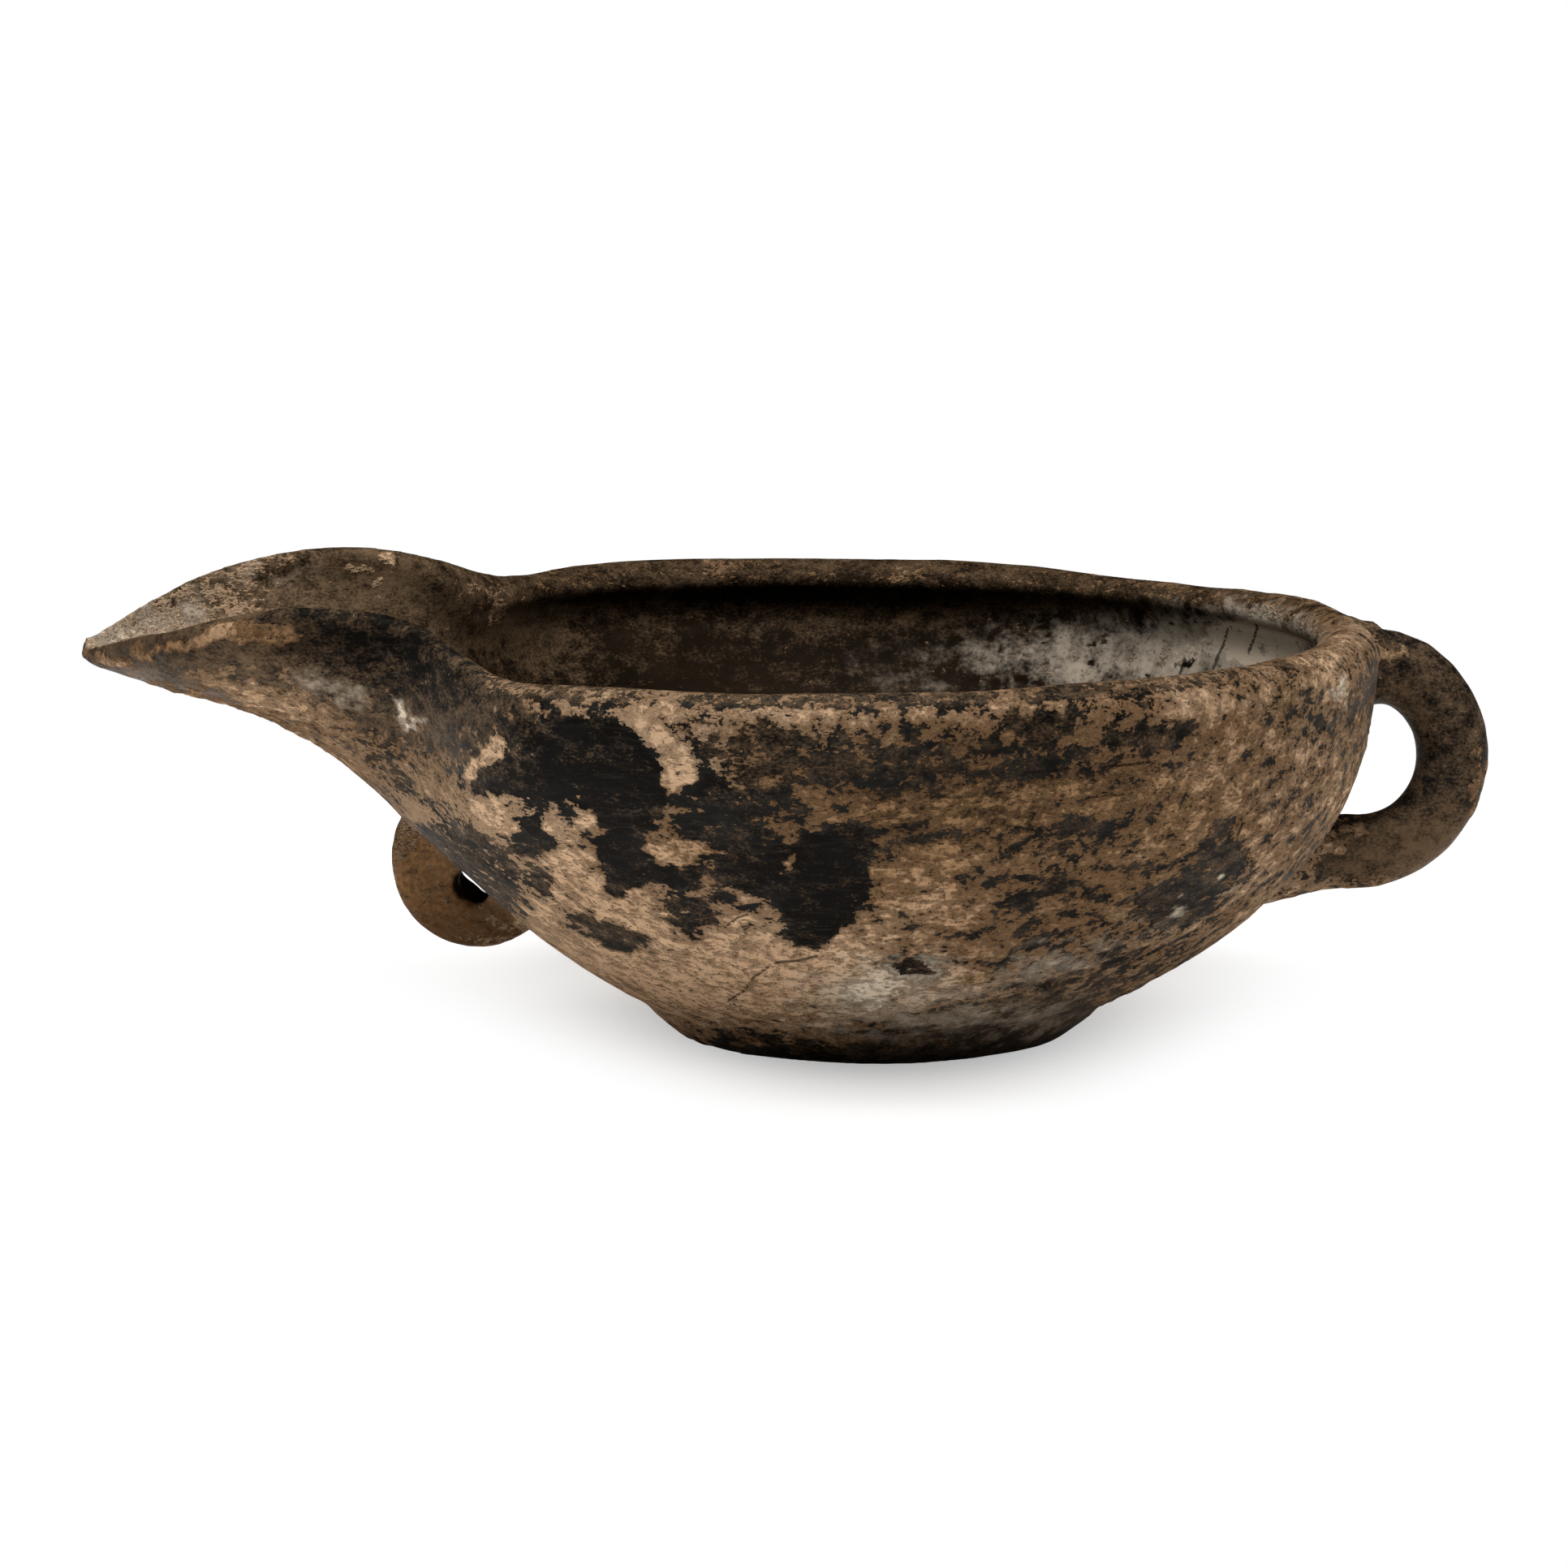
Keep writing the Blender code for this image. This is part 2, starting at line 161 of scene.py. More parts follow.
# %% [markdown]
# ## Wiped smooth
# A wet hand rounds the joints but leaves the lips as thick as they were. So the smoothing is weighted
# by how far a point lies below the lip. The lip's height along the cup is read off the frame: level
# round the bowl, high on the wings of the spout and falling to its tip.

# %% Smooth the skin, less near the lips
LIP_X = np.array([
    -134.8, -131.6, -127.6, -122, -107.6, -92, -84.5, -79.5, -74.6, -69.6, -64.8, -52,
]) * MM
LIP_Z = np.array([67.0, 68.4, 70.2, 72.4, 76.8, 78.6, 78.0, 77.0, 75.3, 72.5, 70.5, 70.5]) * MM


def points(obj):
    """Vertex places of an object as rows of x, y, z."""
    rows = np.empty(len(obj.data.vertices) * 3)
    obj.data.vertices.foreach_get("co", rows)
    return rows.reshape(-1, 3)


def ease(low, high, value):
    """Smooth step from 0 at low to 1 at high."""
    t = np.clip((value - low) / (high - low), 0.0, 1.0)
    return t * t * (3.0 - 2.0 * t)


def below_lip(co):
    """How far points lie below the lip of the bowl or the spout."""
    return np.interp(co[:, 0], LIP_X, LIP_Z) - co[:, 2]


def weigh(obj, name, weights):
    """Store one weight per vertex as a vertex group, for the modifiers to read."""
    group = obj.vertex_groups.new(name=name)
    for step in range(1, 21):
        chosen = np.nonzero(np.rint(weights * 20) == step)[0]
        group.add(chosen.tolist(), step / 20, "REPLACE")
    return group.name


wipe = pot.modifiers.new("wipe", "SMOOTH")
wipe.iterations = 6
settle(pot)
bulk = weigh(pot, "bulk", ease(5 * MM, 13 * MM, below_lip(points(pot))))
rub = pot.modifiers.new("rub", "SMOOTH")
rub.iterations = 40
rub.vertex_group = bulk
settle(pot)
print("smoothed to", [round(d / MM, 1) for d in pot.dimensions], "mm")

# %% [markdown]
# ## Made by eye
# No wheel trued this cup, so its rim sags on the far right and its wall undulates. Broad soft pushes,
# each like a proportional move, set the rim and the spout's tip where the photograph shows them: a
# middle, a reach and a shift, in mm. The tip is pinched to the blunt point that a thumb and a finger
# leave. Two cloud textures then add the slight unevenness of a wall that was beaten and scraped.

# %% Push the shape out of true
PUSHES = [
    ((58, 66, 70), 46, (0, 0, -1.3)),
    ((-25, 90, 70), 34, (0, 0, 0.5)),
    ((-136, 0, 63), 16, (0, 0, 1.7)),
    ((60, -20, 20), 30, (0.5, -0.5, -0.5)),
]
PINCH = 0.5
PINCH_FROM, PINCH_TO = -117 * MM, -136 * MM

co = points(pot)
for middle, reach, shift in PUSHES:
    away = np.linalg.norm(co - np.array(middle) * MM, axis=1)
    co += (1.0 - ease(0.0, reach * MM, away))[:, None] * np.array(shift) * MM
co[:, 1] *= 1.0 - PINCH * ease(PINCH_FROM, PINCH_TO, co[:, 0])
pot.data.vertices.foreach_set("co", co.ravel())
pot.data.update()
for name, size, depth in (("beaten", 42, 1.0), ("scraped", 13, 0.35)):
    cloud = bpy.data.textures.new(name, "CLOUDS")
    cloud.noise_scale = size * MM
    push = pot.modifiers.new(name, "DISPLACE")
    push.texture = cloud
    push.strength = depth * MM
settle(pot)
moved = np.linalg.norm(points(pot) - co, axis=1) / MM
print("uneven by", round(float(moved.mean()), 2), "mm on average and at most", round(float(moved.max()), 2))

# %% [markdown]
# ## Where a point is seen
# Soil is placed by listed dabs, so each point of the skin needs to know where it would be seen in the
# photograph. The far side, which the photograph doesn't show, is treated as if the cup were seen from
# behind in a mirror.

# %% Place points in the photograph
def normals(obj):
    """Vertex normals as rows of x, y, z."""
    rows = np.empty(len(obj.data.vertices) * 3, dtype=np.float32)
    obj.data.vertex_normals.foreach_get("vector", rows)
    return rows.reshape(-1, 3).astype(float)


def seen_at(co):
    """Pixels of the photograph at which points are seen."""
    ray = co - np.array(eye)
    depth = -(ray @ np.array(back))
    across = FOCAL * (ray @ np.array(right)) / depth
    rise = FOCAL * (ray @ np.array(up)) / depth
    return PHOTO / 2 + across, PHOTO / 2 - rise


print("the foot's middle is seen at", [round(float(v[0])) for v in seen_at(np.zeros((1, 3)))])

# %% [markdown]
# A point is inside if its normal looks back at the middle of the bowl or the spout. That would take in
# the back of the handle and of the lug too. So whatever stands off the wall, farther out than the cup's
# near flank at the same height, counts as outside.

# %% Tell the inside from the outside
def insideness(co, facing):
    """1 on the inner face of the bowl and the spout, 0 on the outer face, the handle and the lug."""
    middle = np.zeros_like(co)
    middle[:, 0] = np.clip(co[:, 0], -125 * MM, -5 * MM)
    middle[:, 2] = 76 * MM
    out = co - middle
    out /= np.linalg.norm(out, axis=1)[:, None] + 1e-9
    turn = np.einsum("ij,ij->i", out, facing)
    level = np.maximum(co[:, 2] / (2 * MM), 0).astype(int)
    across = co[:, 0] + 0.14 * co[:, 2]
    flank = (np.abs(across) < 8 * MM) & (co[:, 1] < 0)
    widest = np.zeros(level.max() + 1)
    np.maximum.at(widest, level[flank], -co[flank, 1])
    apart = np.hypot(across, co[:, 1]) > widest[level] - 1.5 * MM
    by_handle = co[:, 0] > 40 * MM
    by_lug = (co[:, 0] < -40 * MM) & (co[:, 2] < 40 * MM)
    apart &= (co[:, 2] < 69 * MM) & (by_handle | by_lug)
    return np.where(apart, 0.0, ease(0.15, -0.15, turn))


def rough(co, size, seed, octaves=3):
    """Fractal noise of about -1 to 1, with features of that size in mm."""
    shift = Vector((seed * 7.31, seed * 3.17, seed * 5.73))
    scale = 1.0 / (size * MM)
    return np.array([noise.fractal(Vector(p) * scale + shift, 0.9, 2.1, octaves) for p in co])


print("share of the skin that is inside:", round(float(insideness(points(pot), normals(pot)).mean()), 2))

# %% [markdown]
# ## The soil, painted dab by dab
# The crust has flaked off in crisp patches, has worn to speckle in others, and lies thick under the
# rim. Each dab below is an oval that was read off the photograph: middle x and y, half width,
# half height, slant in degrees, the value to paint, and how soft its edge is, all in pixels. Later dabs
# lie over earlier ones. Cover is 0 for bare burnished clay, 0.5 for half speckled and 1 for crust.

# %% Dabs of cover on the near outside
COVER_NEAR = [
    (1060, 1010, 700, 260, 0, 0.66, 60),
    (330, 800, 270, 110, 12, 0.20, 50),
    (1150, 880, 520, 26, 0, 0.65, 8),
    (1570, 858, 120, 24, -18, 0.70, 10),
    (1050, 932, 270, 26, 2, 0.38, 20),
    (1290, 898, 44, 17, 0, 0.18, 12),
    (1060, 950, 100, 20, 5, 0.28, 16),
    (1270, 986, 230, 24, -6, 0.84, 14),
    (1440, 1000, 90, 40, -15, 0.80, 20),
    (1400, 960, 74, 18, -6, 0.86, 12),
    (1150, 1034, 60, 15, 5, 0.42, 14),
    (1165, 1088, 95, 46, 0, 0.90, 12),
    (1300, 1062, 120, 36, -15, 0.62, 20),
    (1285, 1100, 48, 9, -12, 0.22, 8),
    (1275, 1163, 36, 9, -25, 0.25, 8),
    (1335, 1024, 60, 12, -15, 0.34, 10),
    (1590, 950, 90, 100, 0, 0.74, 40),
    (1515, 912, 24, 46, 10, 0.92, 8),
    (1480, 868, 56, 14, -12, 0.92, 7),
    (1420, 908, 44, 13, -6, 0.22, 9),
    (1612, 886, 44, 24, 0, 0.52, 20),
    (1646, 842, 18, 24, -20, 0.92, 5),
    (1508, 1048, 24, 40, 30, 0.28, 16),
    (1450, 1106, 56, 34, -30, 0.26, 18),
    (1545, 1026, 22, 24, -20, 0.84, 8),
    (1540, 1128, 70, 10, -36, 0.80, 7),
    (1330, 1200, 110, 30, -15, 0.48, 25),
    (900, 1200, 290, 62, 0, 0.97, 25),
    (760, 1130, 140, 46, 25, 0.95, 16),
    (1240, 1268, 140, 34, -5, 0.26, 22),
    (1125, 1188, 40, 11, 4, 0.03, 4),
    (600, 900, 90, 62, 20, 0.32, 30),
    (690, 925, 72, 36, 10, 0.14, 18),
    (742, 945, 88, 50, 28, 0.06, 6),
    (650, 958, 72, 22, 8, 0.10, 12),
    (772, 990, 44, 36, 10, 0.05, 6),
    (905, 985, 70, 20, 12, 0.26, 12),
    (770, 1058, 34, 42, 14, 0.04, 4),
    (796, 893, 40, 13, 34, 0.98, 4),
    (834, 926, 30, 12, 55, 0.98, 4),
    (836, 962, 17, 18, 10, 0.98, 4),
    (655, 1042, 25, 22, 0, 0.18, 7),
    (586, 1040, 22, 34, 20, 0.62, 8),
    (604, 928, 24, 13, -50, 0.98, 3),
    (582, 950, 26, 10, -30, 0.98, 3),
    (568, 968, 9, 11, 10, 0.97, 3),
    (608, 1006, 36, 23, 28, 0.98, 3),
    (598, 972, 34, 7, 14, 0.10, 3),
    (656, 1020, 8, 30, 20, 0.12, 3),
    (720, 1008, 11, 7, 0, 0.96, 3),
    (712, 1066, 38, 22, 20, 0.90, 7),
    (892, 1018, 66, 24, 14, 0.26, 9),
    (834, 1046, 38, 14, 6, 0.98, 3),
    (911, 1068, 14, 8, 20, 0.96, 3),
    (836, 1074, 34, 12, 8, 0.12, 5),
    (660, 1094, 26, 11, 12, 0.18, 6),
    (850, 1128, 35, 25, 10, 0.26, 6),
    (738, 1147, 58, 17, 24, 0.22, 7),
    (955, 1074, 82, 30, 8, 0.03, 5),
    (1010, 1092, 60, 58, 0, 0.03, 4),
    (1000, 1136, 40, 28, 0, 0.04, 4),
    (1046, 1044, 34, 26, -10, 0.10, 7),
    (975, 1063, 9, 8, 0, 0.94, 3),
    # Partly bare clay, partly painted shade: a black band along the foot, where contact shade falls.
    (1080, 1302, 230, 12, 0, 0.06, 6),
]

# %% [markdown]
# The spout's near wing is bare and dark, with one long flake of crust along its edge and crumbly soil
# along its keel. The handle is worn by the hand, so it is half bare, and soil stays on its outer edge.

# %% Dabs of cover on the spout, the handle and the lug
COVER_NEAR += [
    (470, 790, 120, 52, 24, 0.15, 26),
    (540, 850, 60, 40, 30, 0.20, 26),
    (330, 783, 50, 13, 2, 0.98, 4),
    (258, 786, 62, 10, -13, 0.97, 4),
    (188, 802, 66, 9, -15, 0.95, 4),
    (128, 813, 36, 7, 12, 0.80, 5),
    (224, 822, 56, 12, 3, 0.20, 6),
    (300, 812, 44, 11, 8, 0.24, 7),
    (350, 828, 44, 13, 16, 0.36, 9),
    (330, 862, 96, 16, 22, 0.88, 10),
    (425, 908, 86, 18, 36, 0.74, 14),
    (470, 890, 52, 34, 36, 0.38, 22),
    (520, 960, 56, 36, 44, 0.46, 24),
    (500, 888, 16, 6, 30, 0.95, 4),
    (265, 868, 100, 9, 17.5, 0.92, 5),
    (400, 926, 66, 9, 32, 0.90, 5),
    (535, 962, 52, 18, 46, 0.76, 14),
    (545, 1028, 62, 16, 40, 0.86, 10),
    (640, 1112, 110, 21, 40, 0.92, 10),
    (1775, 910, 80, 190, 0, 0.15, 30),
    (1820, 975, 10, 84, 8, 0.66, 8),
    (1712, 803, 20, 8, 10, 0.90, 6),
    (1700, 1046, 64, 24, 4, 0.32, 18),
    (1668, 1064, 52, 18, -8, 0.18, 12),
    (1648, 1040, 14, 12, 20, 0.88, 6),
    (560, 1090, 90, 80, 0, 0.34, 20),
]

# %% [markdown]
# The photograph doesn't show the far side. It gets dabs of the same kinds in other places, because the
# cup lay in the same soil all round.

# %% Dabs of cover on the far outside, seen in the mirror
COVER_FAR = [
    (1060, 1010, 700, 260, 0, 0.60, 60),
    (330, 800, 270, 110, 12, 0.36, 50),
    (1180, 886, 500, 22, 0, 0.86, 9),
    (1280, 950, 260, 36, -3, 0.42, 24),
    (1330, 1060, 100, 62, -12, 0.05, 6),
    (1250, 1100, 60, 34, 10, 0.06, 5),
    (820, 960, 110, 44, 12, 0.12, 14),
    (900, 1000, 70, 40, 0, 0.06, 6),
    (760, 1040, 60, 24, 20, 0.92, 6),
    (1000, 1060, 130, 40, -4, 0.86, 14),
    (900, 1200, 300, 62, 0, 0.95, 25),
    (1360, 1180, 120, 40, -18, 0.84, 20),
    (1090, 1170, 46, 16, -12, 0.06, 5),
    (690, 1080, 40, 26, 20, 0.24, 8),
    (1500, 1000, 70, 60, -10, 0.30, 20),
    (1560, 930, 60, 60, 0, 0.80, 16),
    (600, 950, 60, 40, 20, 0.90, 8),
    (470, 800, 110, 46, 22, 0.10, 26),
    (360, 800, 60, 12, 4, 0.94, 5),
    (240, 806, 70, 10, -10, 0.40, 8),
    (340, 862, 110, 18, 22, 0.78, 10),
    (520, 950, 60, 40, 44, 0.55, 24),
    (545, 1028, 62, 16, 40, 0.86, 10),
    (640, 1112, 110, 21, 40, 0.92, 10),
    (1775, 910, 80, 190, 0, 0.24, 30),
    (560, 1090, 90, 80, 0, 0.30, 20),
]

# %% [markdown]
# Inside, the bowl kept its black, with rusty specks and a grey film of lime at the handle's side, where
# water stood. Soil lies in the bill of the spout and at the notches.

# %% Dabs of cover on the inside
COVER_IN = [
    (1000, 800, 900, 200, 0, 0.13, 60),
    (150, 795, 110, 50, -22, 0.86, 40),
    (290, 745, 70, 50, -14, 0.58, 40),
    (460, 715, 110, 60, -5, 0.20, 40),
    (620, 770, 90, 60, 30, 0.26, 40),
    (300, 705, 120, 9, -24, 0.62, 8),
    (440, 702, 14, 7, -20, 0.90, 5),
    (475, 692, 10, 8, 10, 0.95, 4),
    (455, 716, 9, 6, -20, 0.90, 4),
    (600, 738, 46, 30, 30, 0.46, 24),
    (618, 752, 14, 16, 10, 0.92, 7),
    (1060, 708, 60, 5, 0, 0.62, 8),
    (1400, 806, 200, 40, 0, 0.30, 50),
    (1600, 770, 40, 30, 20, 0.40, 20),
]
print("dabs of cover:", len(COVER_NEAR) + len(COVER_FAR) + len(COVER_IN))

# %% [markdown]
# More lists say how pale the soil is, where dust lies on the bare clay and where lime has bloomed. Tone
# runs from 0, dark brown, to 1, pale tan. Dust runs from 0 to 1, a film that hides most of the black.
# Lime runs from 0 to 1, the white of the chalky chips. A few dabs paint shade or light as well: darker
# tone in the middle and on the right of the near wall and along the foot is partly painted shade, and
# the dust and lime under the rim inside are raised as painted light, which lifts the rim's shade.

# %% Dabs of tone, dust and lime, with some painted shade and light
TONE = [
    (1000, 1000, 1000, 400, 0, 0.50, 60),
    # Partly darker soil, partly painted shade: the dim middle of the near wall.
    (1200, 990, 300, 90, -3, 0.08, 70),
    (620, 1010, 95, 95, 0, 0.74, 40),
    (840, 1190, 250, 80, 10, 0.60, 50),
    (690, 1090, 60, 44, 20, 0.52, 30),
    (590, 1060, 160, 34, 42, 0.84, 20),
    (800, 910, 110, 44, 30, 0.72, 26),
    # Partly painted shade: the right side of the near wall is darker, where less light falls.
    (1570, 925, 100, 90, 0, 0.34, 50),
    (1630, 940, 60, 110, 0, 0.50, 40),
    (1300, 1100, 160, 70, -15, 0.26, 50),
    (1090, 872, 480, 13, 0, 0.48, 10),
    (860, 872, 130, 24, 10, 0.54, 20),
    # Partly painted shade: the band along the foot is darker, where contact shade falls.
    (1240, 1290, 220, 24, 0, 0.18, 16),
    (900, 1294, 120, 12, 0, 0.24, 12),
    (300, 790, 230, 28, 0, 0.12, 16),
    (385, 880, 170, 40, 32, 0.52, 26),
    (265, 868, 100, 10, 17.5, 0.26, 6),
    (400, 926, 66, 9, 32, 0.34, 6),
    (1790, 900, 90, 200, 0, 0.42, 30),
]
TONE_IN = [
    (150, 795, 130, 60, -18, 1.20, 50),
    (330, 730, 110, 60, -10, 0.72, 60),
    (490, 720, 100, 60, -5, 0.60, 50),
]
DUST = [
    (1000, 1000, 1000, 400, 0, 0.26, 60),
    (330, 810, 280, 100, 14, 0.54, 50),
    (470, 795, 120, 56, 24, 0.22, 30),
    (760, 985, 150, 100, 20, 0.04, 30),
    (1000, 1090, 100, 70, 0, 0.03, 20),
    (1240, 1256, 180, 40, -5, 0.52, 30),
    (1790, 900, 130, 240, 0, 0.42, 30),
    (1740, 1050, 90, 40, 0, 0.74, 30),
]
DUST_AND_LIGHT_IN = [
    # Painted light: a pale band of dust under the rolled rim, which lifts the shade that the rim casts.
    (1000, 752, 640, 26, 0, 0.36, 20),
    (240, 760, 230, 80, -14, 0.52, 50),
    (470, 720, 130, 70, -5, 0.56, 50),
    (620, 770, 90, 60, 30, 0.58, 50),
]
LIME = [
    (1085, 1225, 90, 40, -5, 0.92, 36),
    (1285, 1186, 130, 24, -15, 0.34, 30),
    (1240, 1256, 130, 26, -6, 0.36, 24),
    (405, 848, 56, 15, 22, 0.50, 18),
    (486, 880, 5, 16, -20, 0.95, 3),
    (503, 892, 17, 6, -15, 1.00, 3),
    (1656, 850, 6, 16, 14, 1.00, 3),
    (1510, 1072, 6, 4, -35, 0.85, 3),
    (1512, 1098, 9, 4, -20, 0.85, 3),
    (1450, 1121, 12, 5, -35, 0.75, 4),
]
LIME_AND_LIGHT_IN = [
    (1380, 815, 240, 44, -2, 0.35, 50),
    # Partly painted light: real lime under the right of the rim, raised to lift the rim's shade.
    (1470, 798, 140, 38, -2, 0.76, 40),
    (1552, 788, 58, 32, 8, 1.00, 24),
    (330, 710, 60, 20, 0, 0.25, 20),
    (150, 795, 100, 40, -20, 0.76, 40),
]

# %% [markdown]
# A few cracks and scored lines cross the crust. Each is a run of points in the photograph.

# %% Cracks and scores
CRACKS = [
    [(897, 1138), (908, 1130), (923, 1125)],
    [(955, 1185), (985, 1182), (1007, 1177)],
    [(949, 1188), (928, 1204), (918, 1219), (897, 1232)],
    [(1250, 954), (1300, 948), (1347, 942)],
    [(1376, 942), (1421, 939)],
    [(1340, 981), (1396, 976)],
    [(1532, 1012), (1524, 1026), (1524, 1044), (1530, 1050)],
]
CRACKS_IN = [
    [(1508, 778), (1504, 800), (1494, 826)],
    [(1545, 770), (1536, 806)],
    [(1460, 812), (1452, 836)],
]
print("cracks and scores:", len(CRACKS) + len(CRACKS_IN))

# %% [markdown]
# ## From dabs to fields
# A dab's outline is warped by noise, so that it looks torn rather than drawn. The fields are kept on
# the vertices, and the shader later adds the fine ragged edge.

# %% Tools that paint dabs and lines
def paint(field, seen, dabs):
    """Lay dabs over a field; seen is where its points are in the photograph."""
    for x, y, wide, high, slant, value, soft in dabs:
        c = math.cos(math.radians(slant))
        s = math.sin(math.radians(slant))
        along = ((seen[0] - x) * c + (seen[1] - y) * s) / wide
        over = ((seen[1] - y) * c - (seen[0] - x) * s) / high
        edge = (np.hypot(along, over) - 1.0) * min(wide, high)
        field += (value - field) * ease(soft, -soft, edge)
    return field


def nearness(seen, lines, reach):
    """1 on a line of the photograph, falling to 0 at reach pixels from it."""
    best = np.full(len(seen[0]), 1e9)
    at = np.stack(seen, axis=1)
    for line in lines:
        for a, b in zip(line, line[1:]):
            a, b = np.array(a, float), np.array(b, float)
            t = np.clip((at - a) @ (b - a) / ((b - a) @ (b - a)), 0.0, 1.0)
            best = np.minimum(best, np.linalg.norm(at - a - t[:, None] * (b - a), axis=1))
    return np.clip(1.0 - best / reach, 0.0, 1.0)


def torn(seen, co, seed, wide):
    """Warp where points are seen, by about that many pixels, so that outlines look torn."""
    fine = 9.0
    x = seen[0] + wide * rough(co, 9, seed) + fine * rough(co, 2.5, seed + 1, 2)
    y = seen[1] + wide * rough(co, 9, seed + 2) + fine * rough(co, 2.5, seed + 3, 2)
    return x, y


# %% [markdown]
# Three more tools. One blends the near and the far outside where the cup turns away. One finds the crest
# of the rim, where hands and burial have left a gritty, dusty band. One finds the hole in the lug, which
# is painted black all the way through, as painted shade.

# %% Tools for the sides, the crest of the rim and the hole
HOLE = np.array((-69.2, 18.5, 22.8)) * MM
HOLE_AXIS = np.array((0.259, 0.966, 0.0))


def sides(dabs, near, far, hidden):
    """Paint the near and the far outside, each with its own dabs, and blend them by what is hidden."""
    start = np.full(len(hidden), 0.5)
    seen_side = paint(start.copy(), near, dabs[0])
    far_side = paint(start.copy(), far, dabs[1])
    return seen_side + (far_side - seen_side) * hidden


def crest(co, inner):
    """1 on the crest of the bowl's rim, a little deeper on its inner side, and 0 on the rest."""
    rim = ease((2.2 + 2.4 * inner) * MM, (1.0 + 2.0 * inner) * MM, below_lip(co))
    return rim * (co[:, 0] < 86 * MM) * ease(-75 * MM, -60 * MM, co[:, 0])


def hole_shade_mask(co):
    """Painted shade: 1 in the lug's cord hole and on the balls in it, 0 elsewhere."""
    spoke = co - HOLE
    along = spoke @ HOLE_AXIS
    spoke = np.linalg.norm(spoke - along[:, None] * HOLE_AXIS, axis=1)
    reach = np.where(along > -2.6 * MM, 4.8 * MM, 3.0 * MM)
    return ease(reach, reach - 0.5 * MM, spoke) * (np.abs(along) < 5.2 * MM)


# %% [markdown]
# Now all the dabs are laid on the skin. Between bare clay and full crust, noise breaks the cover into
# small plaques, less so on the handle and the spout, which were rubbed.

# %% Lay the dabs on the skin
TEAR_NEAR, TEAR_FAR, TEAR_IN = 11, 24, 12
PLAQUE = 0.34
RIM_DUST = 0.42
CRACK_REACH = 10


def soil_fields(obj):
    """What the finish needs to know of every vertex of an object, as named fields from 0 to 1."""
    co, facing = points(obj), normals(obj)
    inner = insideness(co, facing)
    hidden = ease(-0.15, 0.15, facing[:, 1])
    near_at = seen_at(co)
    far_at = seen_at(co * [1, -1, 1])
    in_at = seen_at(np.stack([co[:, 0], np.abs(co[:, 1]), co[:, 2]], axis=1))
    near, far = torn(near_at, co, 1, TEAR_NEAR), torn(far_at, co, 11, TEAR_FAR)
    within = torn(in_at, co, 21, TEAR_IN)
    blank = np.zeros(len(co))
    cover = sides((COVER_NEAR, COVER_FAR), near, far, hidden)
    cover += (paint(blank + 0.13, within, COVER_IN) - cover) * inner
    rim = crest(co, inner)
    plaques = rough(co * [0.7, 0.7, 1.3], 2.6, 41)
    handled = 0.7 * np.maximum(ease(82 * MM, 88 * MM, co[:, 0]), ease(-55 * MM, -75 * MM, co[:, 0]))
    cover += (PLAQUE - PLAQUE * handled) * plaques * ease(0.05, 0.3, cover) * ease(1.0, 0.86, cover)
    grit = 0.45 + 0.17 * ease(20 * MM, 80 * MM, co[:, 0]) + 0.25 * rough(co, 10, 31)
    grit -= 0.15 * ease(-20 * MM, 30 * MM, co[:, 1]) - 0.08
    cover += (grit - cover) * rim
    tone = sides((TONE, TONE), near, far, hidden)
    tone += (paint(blank + 0.35, within, TONE_IN) - tone) * inner
    dust_and_light = sides((DUST, DUST), near, far, hidden)
    dust_and_light += (paint(blank + 0.08, within, DUST_AND_LIGHT_IN) - dust_and_light) * inner
    dust_and_light = np.maximum(dust_and_light, RIM_DUST * rim)
    # Painted shade: the cord hole and the balls in it are left bare and dark, like the inside of the bowl.
    hole_shade = hole_shade_mask(co)
    cover, dust_and_light = cover * (1 - hole_shade), dust_and_light * (1 - hole_shade)
    outside = (1 - hidden) * (1 - inner)
    lime_and_light = paint(blank.copy(), near, LIME) * outside + paint(blank.copy(), within, LIME_AND_LIGHT_IN) * inner
    crack = nearness(near_at, CRACKS, CRACK_REACH) * outside
    crack += nearness(in_at, CRACKS_IN, CRACK_REACH) * inner * (1 - hidden)
    return {"cover": np.clip(cover, 0, 1), "tone": np.clip(tone, 0, 1), "lime_and_light": lime_and_light, "crack": crack,
            "inner": np.maximum(inner, hole_shade), "dust_and_light": dust_and_light, "hole_shade": hole_shade}


fields = soil_fields(pot)
print("mean cover:", round(float(fields["cover"].mean()), 2))

# %% [markdown]
# ## Relief of the rim and the crust
# The photograph shows a thick lip with a dark line below it inside, as if the rim had been rolled inward.
# Two Displace modifiers make a bead and a groove there, each where its vertex group says.

# %% Roll the rim
ROLL = 0.7 * MM
GROOVE = -1.1 * MM

co = points(pot)
below = below_lip(co)
bowl_rim = fields["inner"] * ease(-72 * MM, -56 * MM, co[:, 0])
bead = bowl_rim * ease(0.5 * MM, 2 * MM, below) * ease(5.5 * MM, 3.5 * MM, below)
groove = bowl_rim * ease(4.5 * MM, 6.5 * MM, below) * ease(13 * MM, 8 * MM, below)
for name, weights, depth in (("rolled", bead, ROLL), ("hollow", groove, GROOVE)):
    shape = pot.modifiers.new(name, "DISPLACE")
    shape.vertex_group = weigh(pot, name, weights)
    shape.strength = depth
    shape.mid_level = 0.0
print("bead and groove on", int((bead > 0.5).sum()), "and", int((groove > 0.5).sum()), "points")

# %% [markdown]
# The crust is a real layer: about 0.2 mm of silt, with lumps of up to a millimetre under the rim and
# along the spout's keel, where it dripped and dried. It is raised in the same way, so that its edges
# catch the light like the real flakes do. The foot is then made flat again.

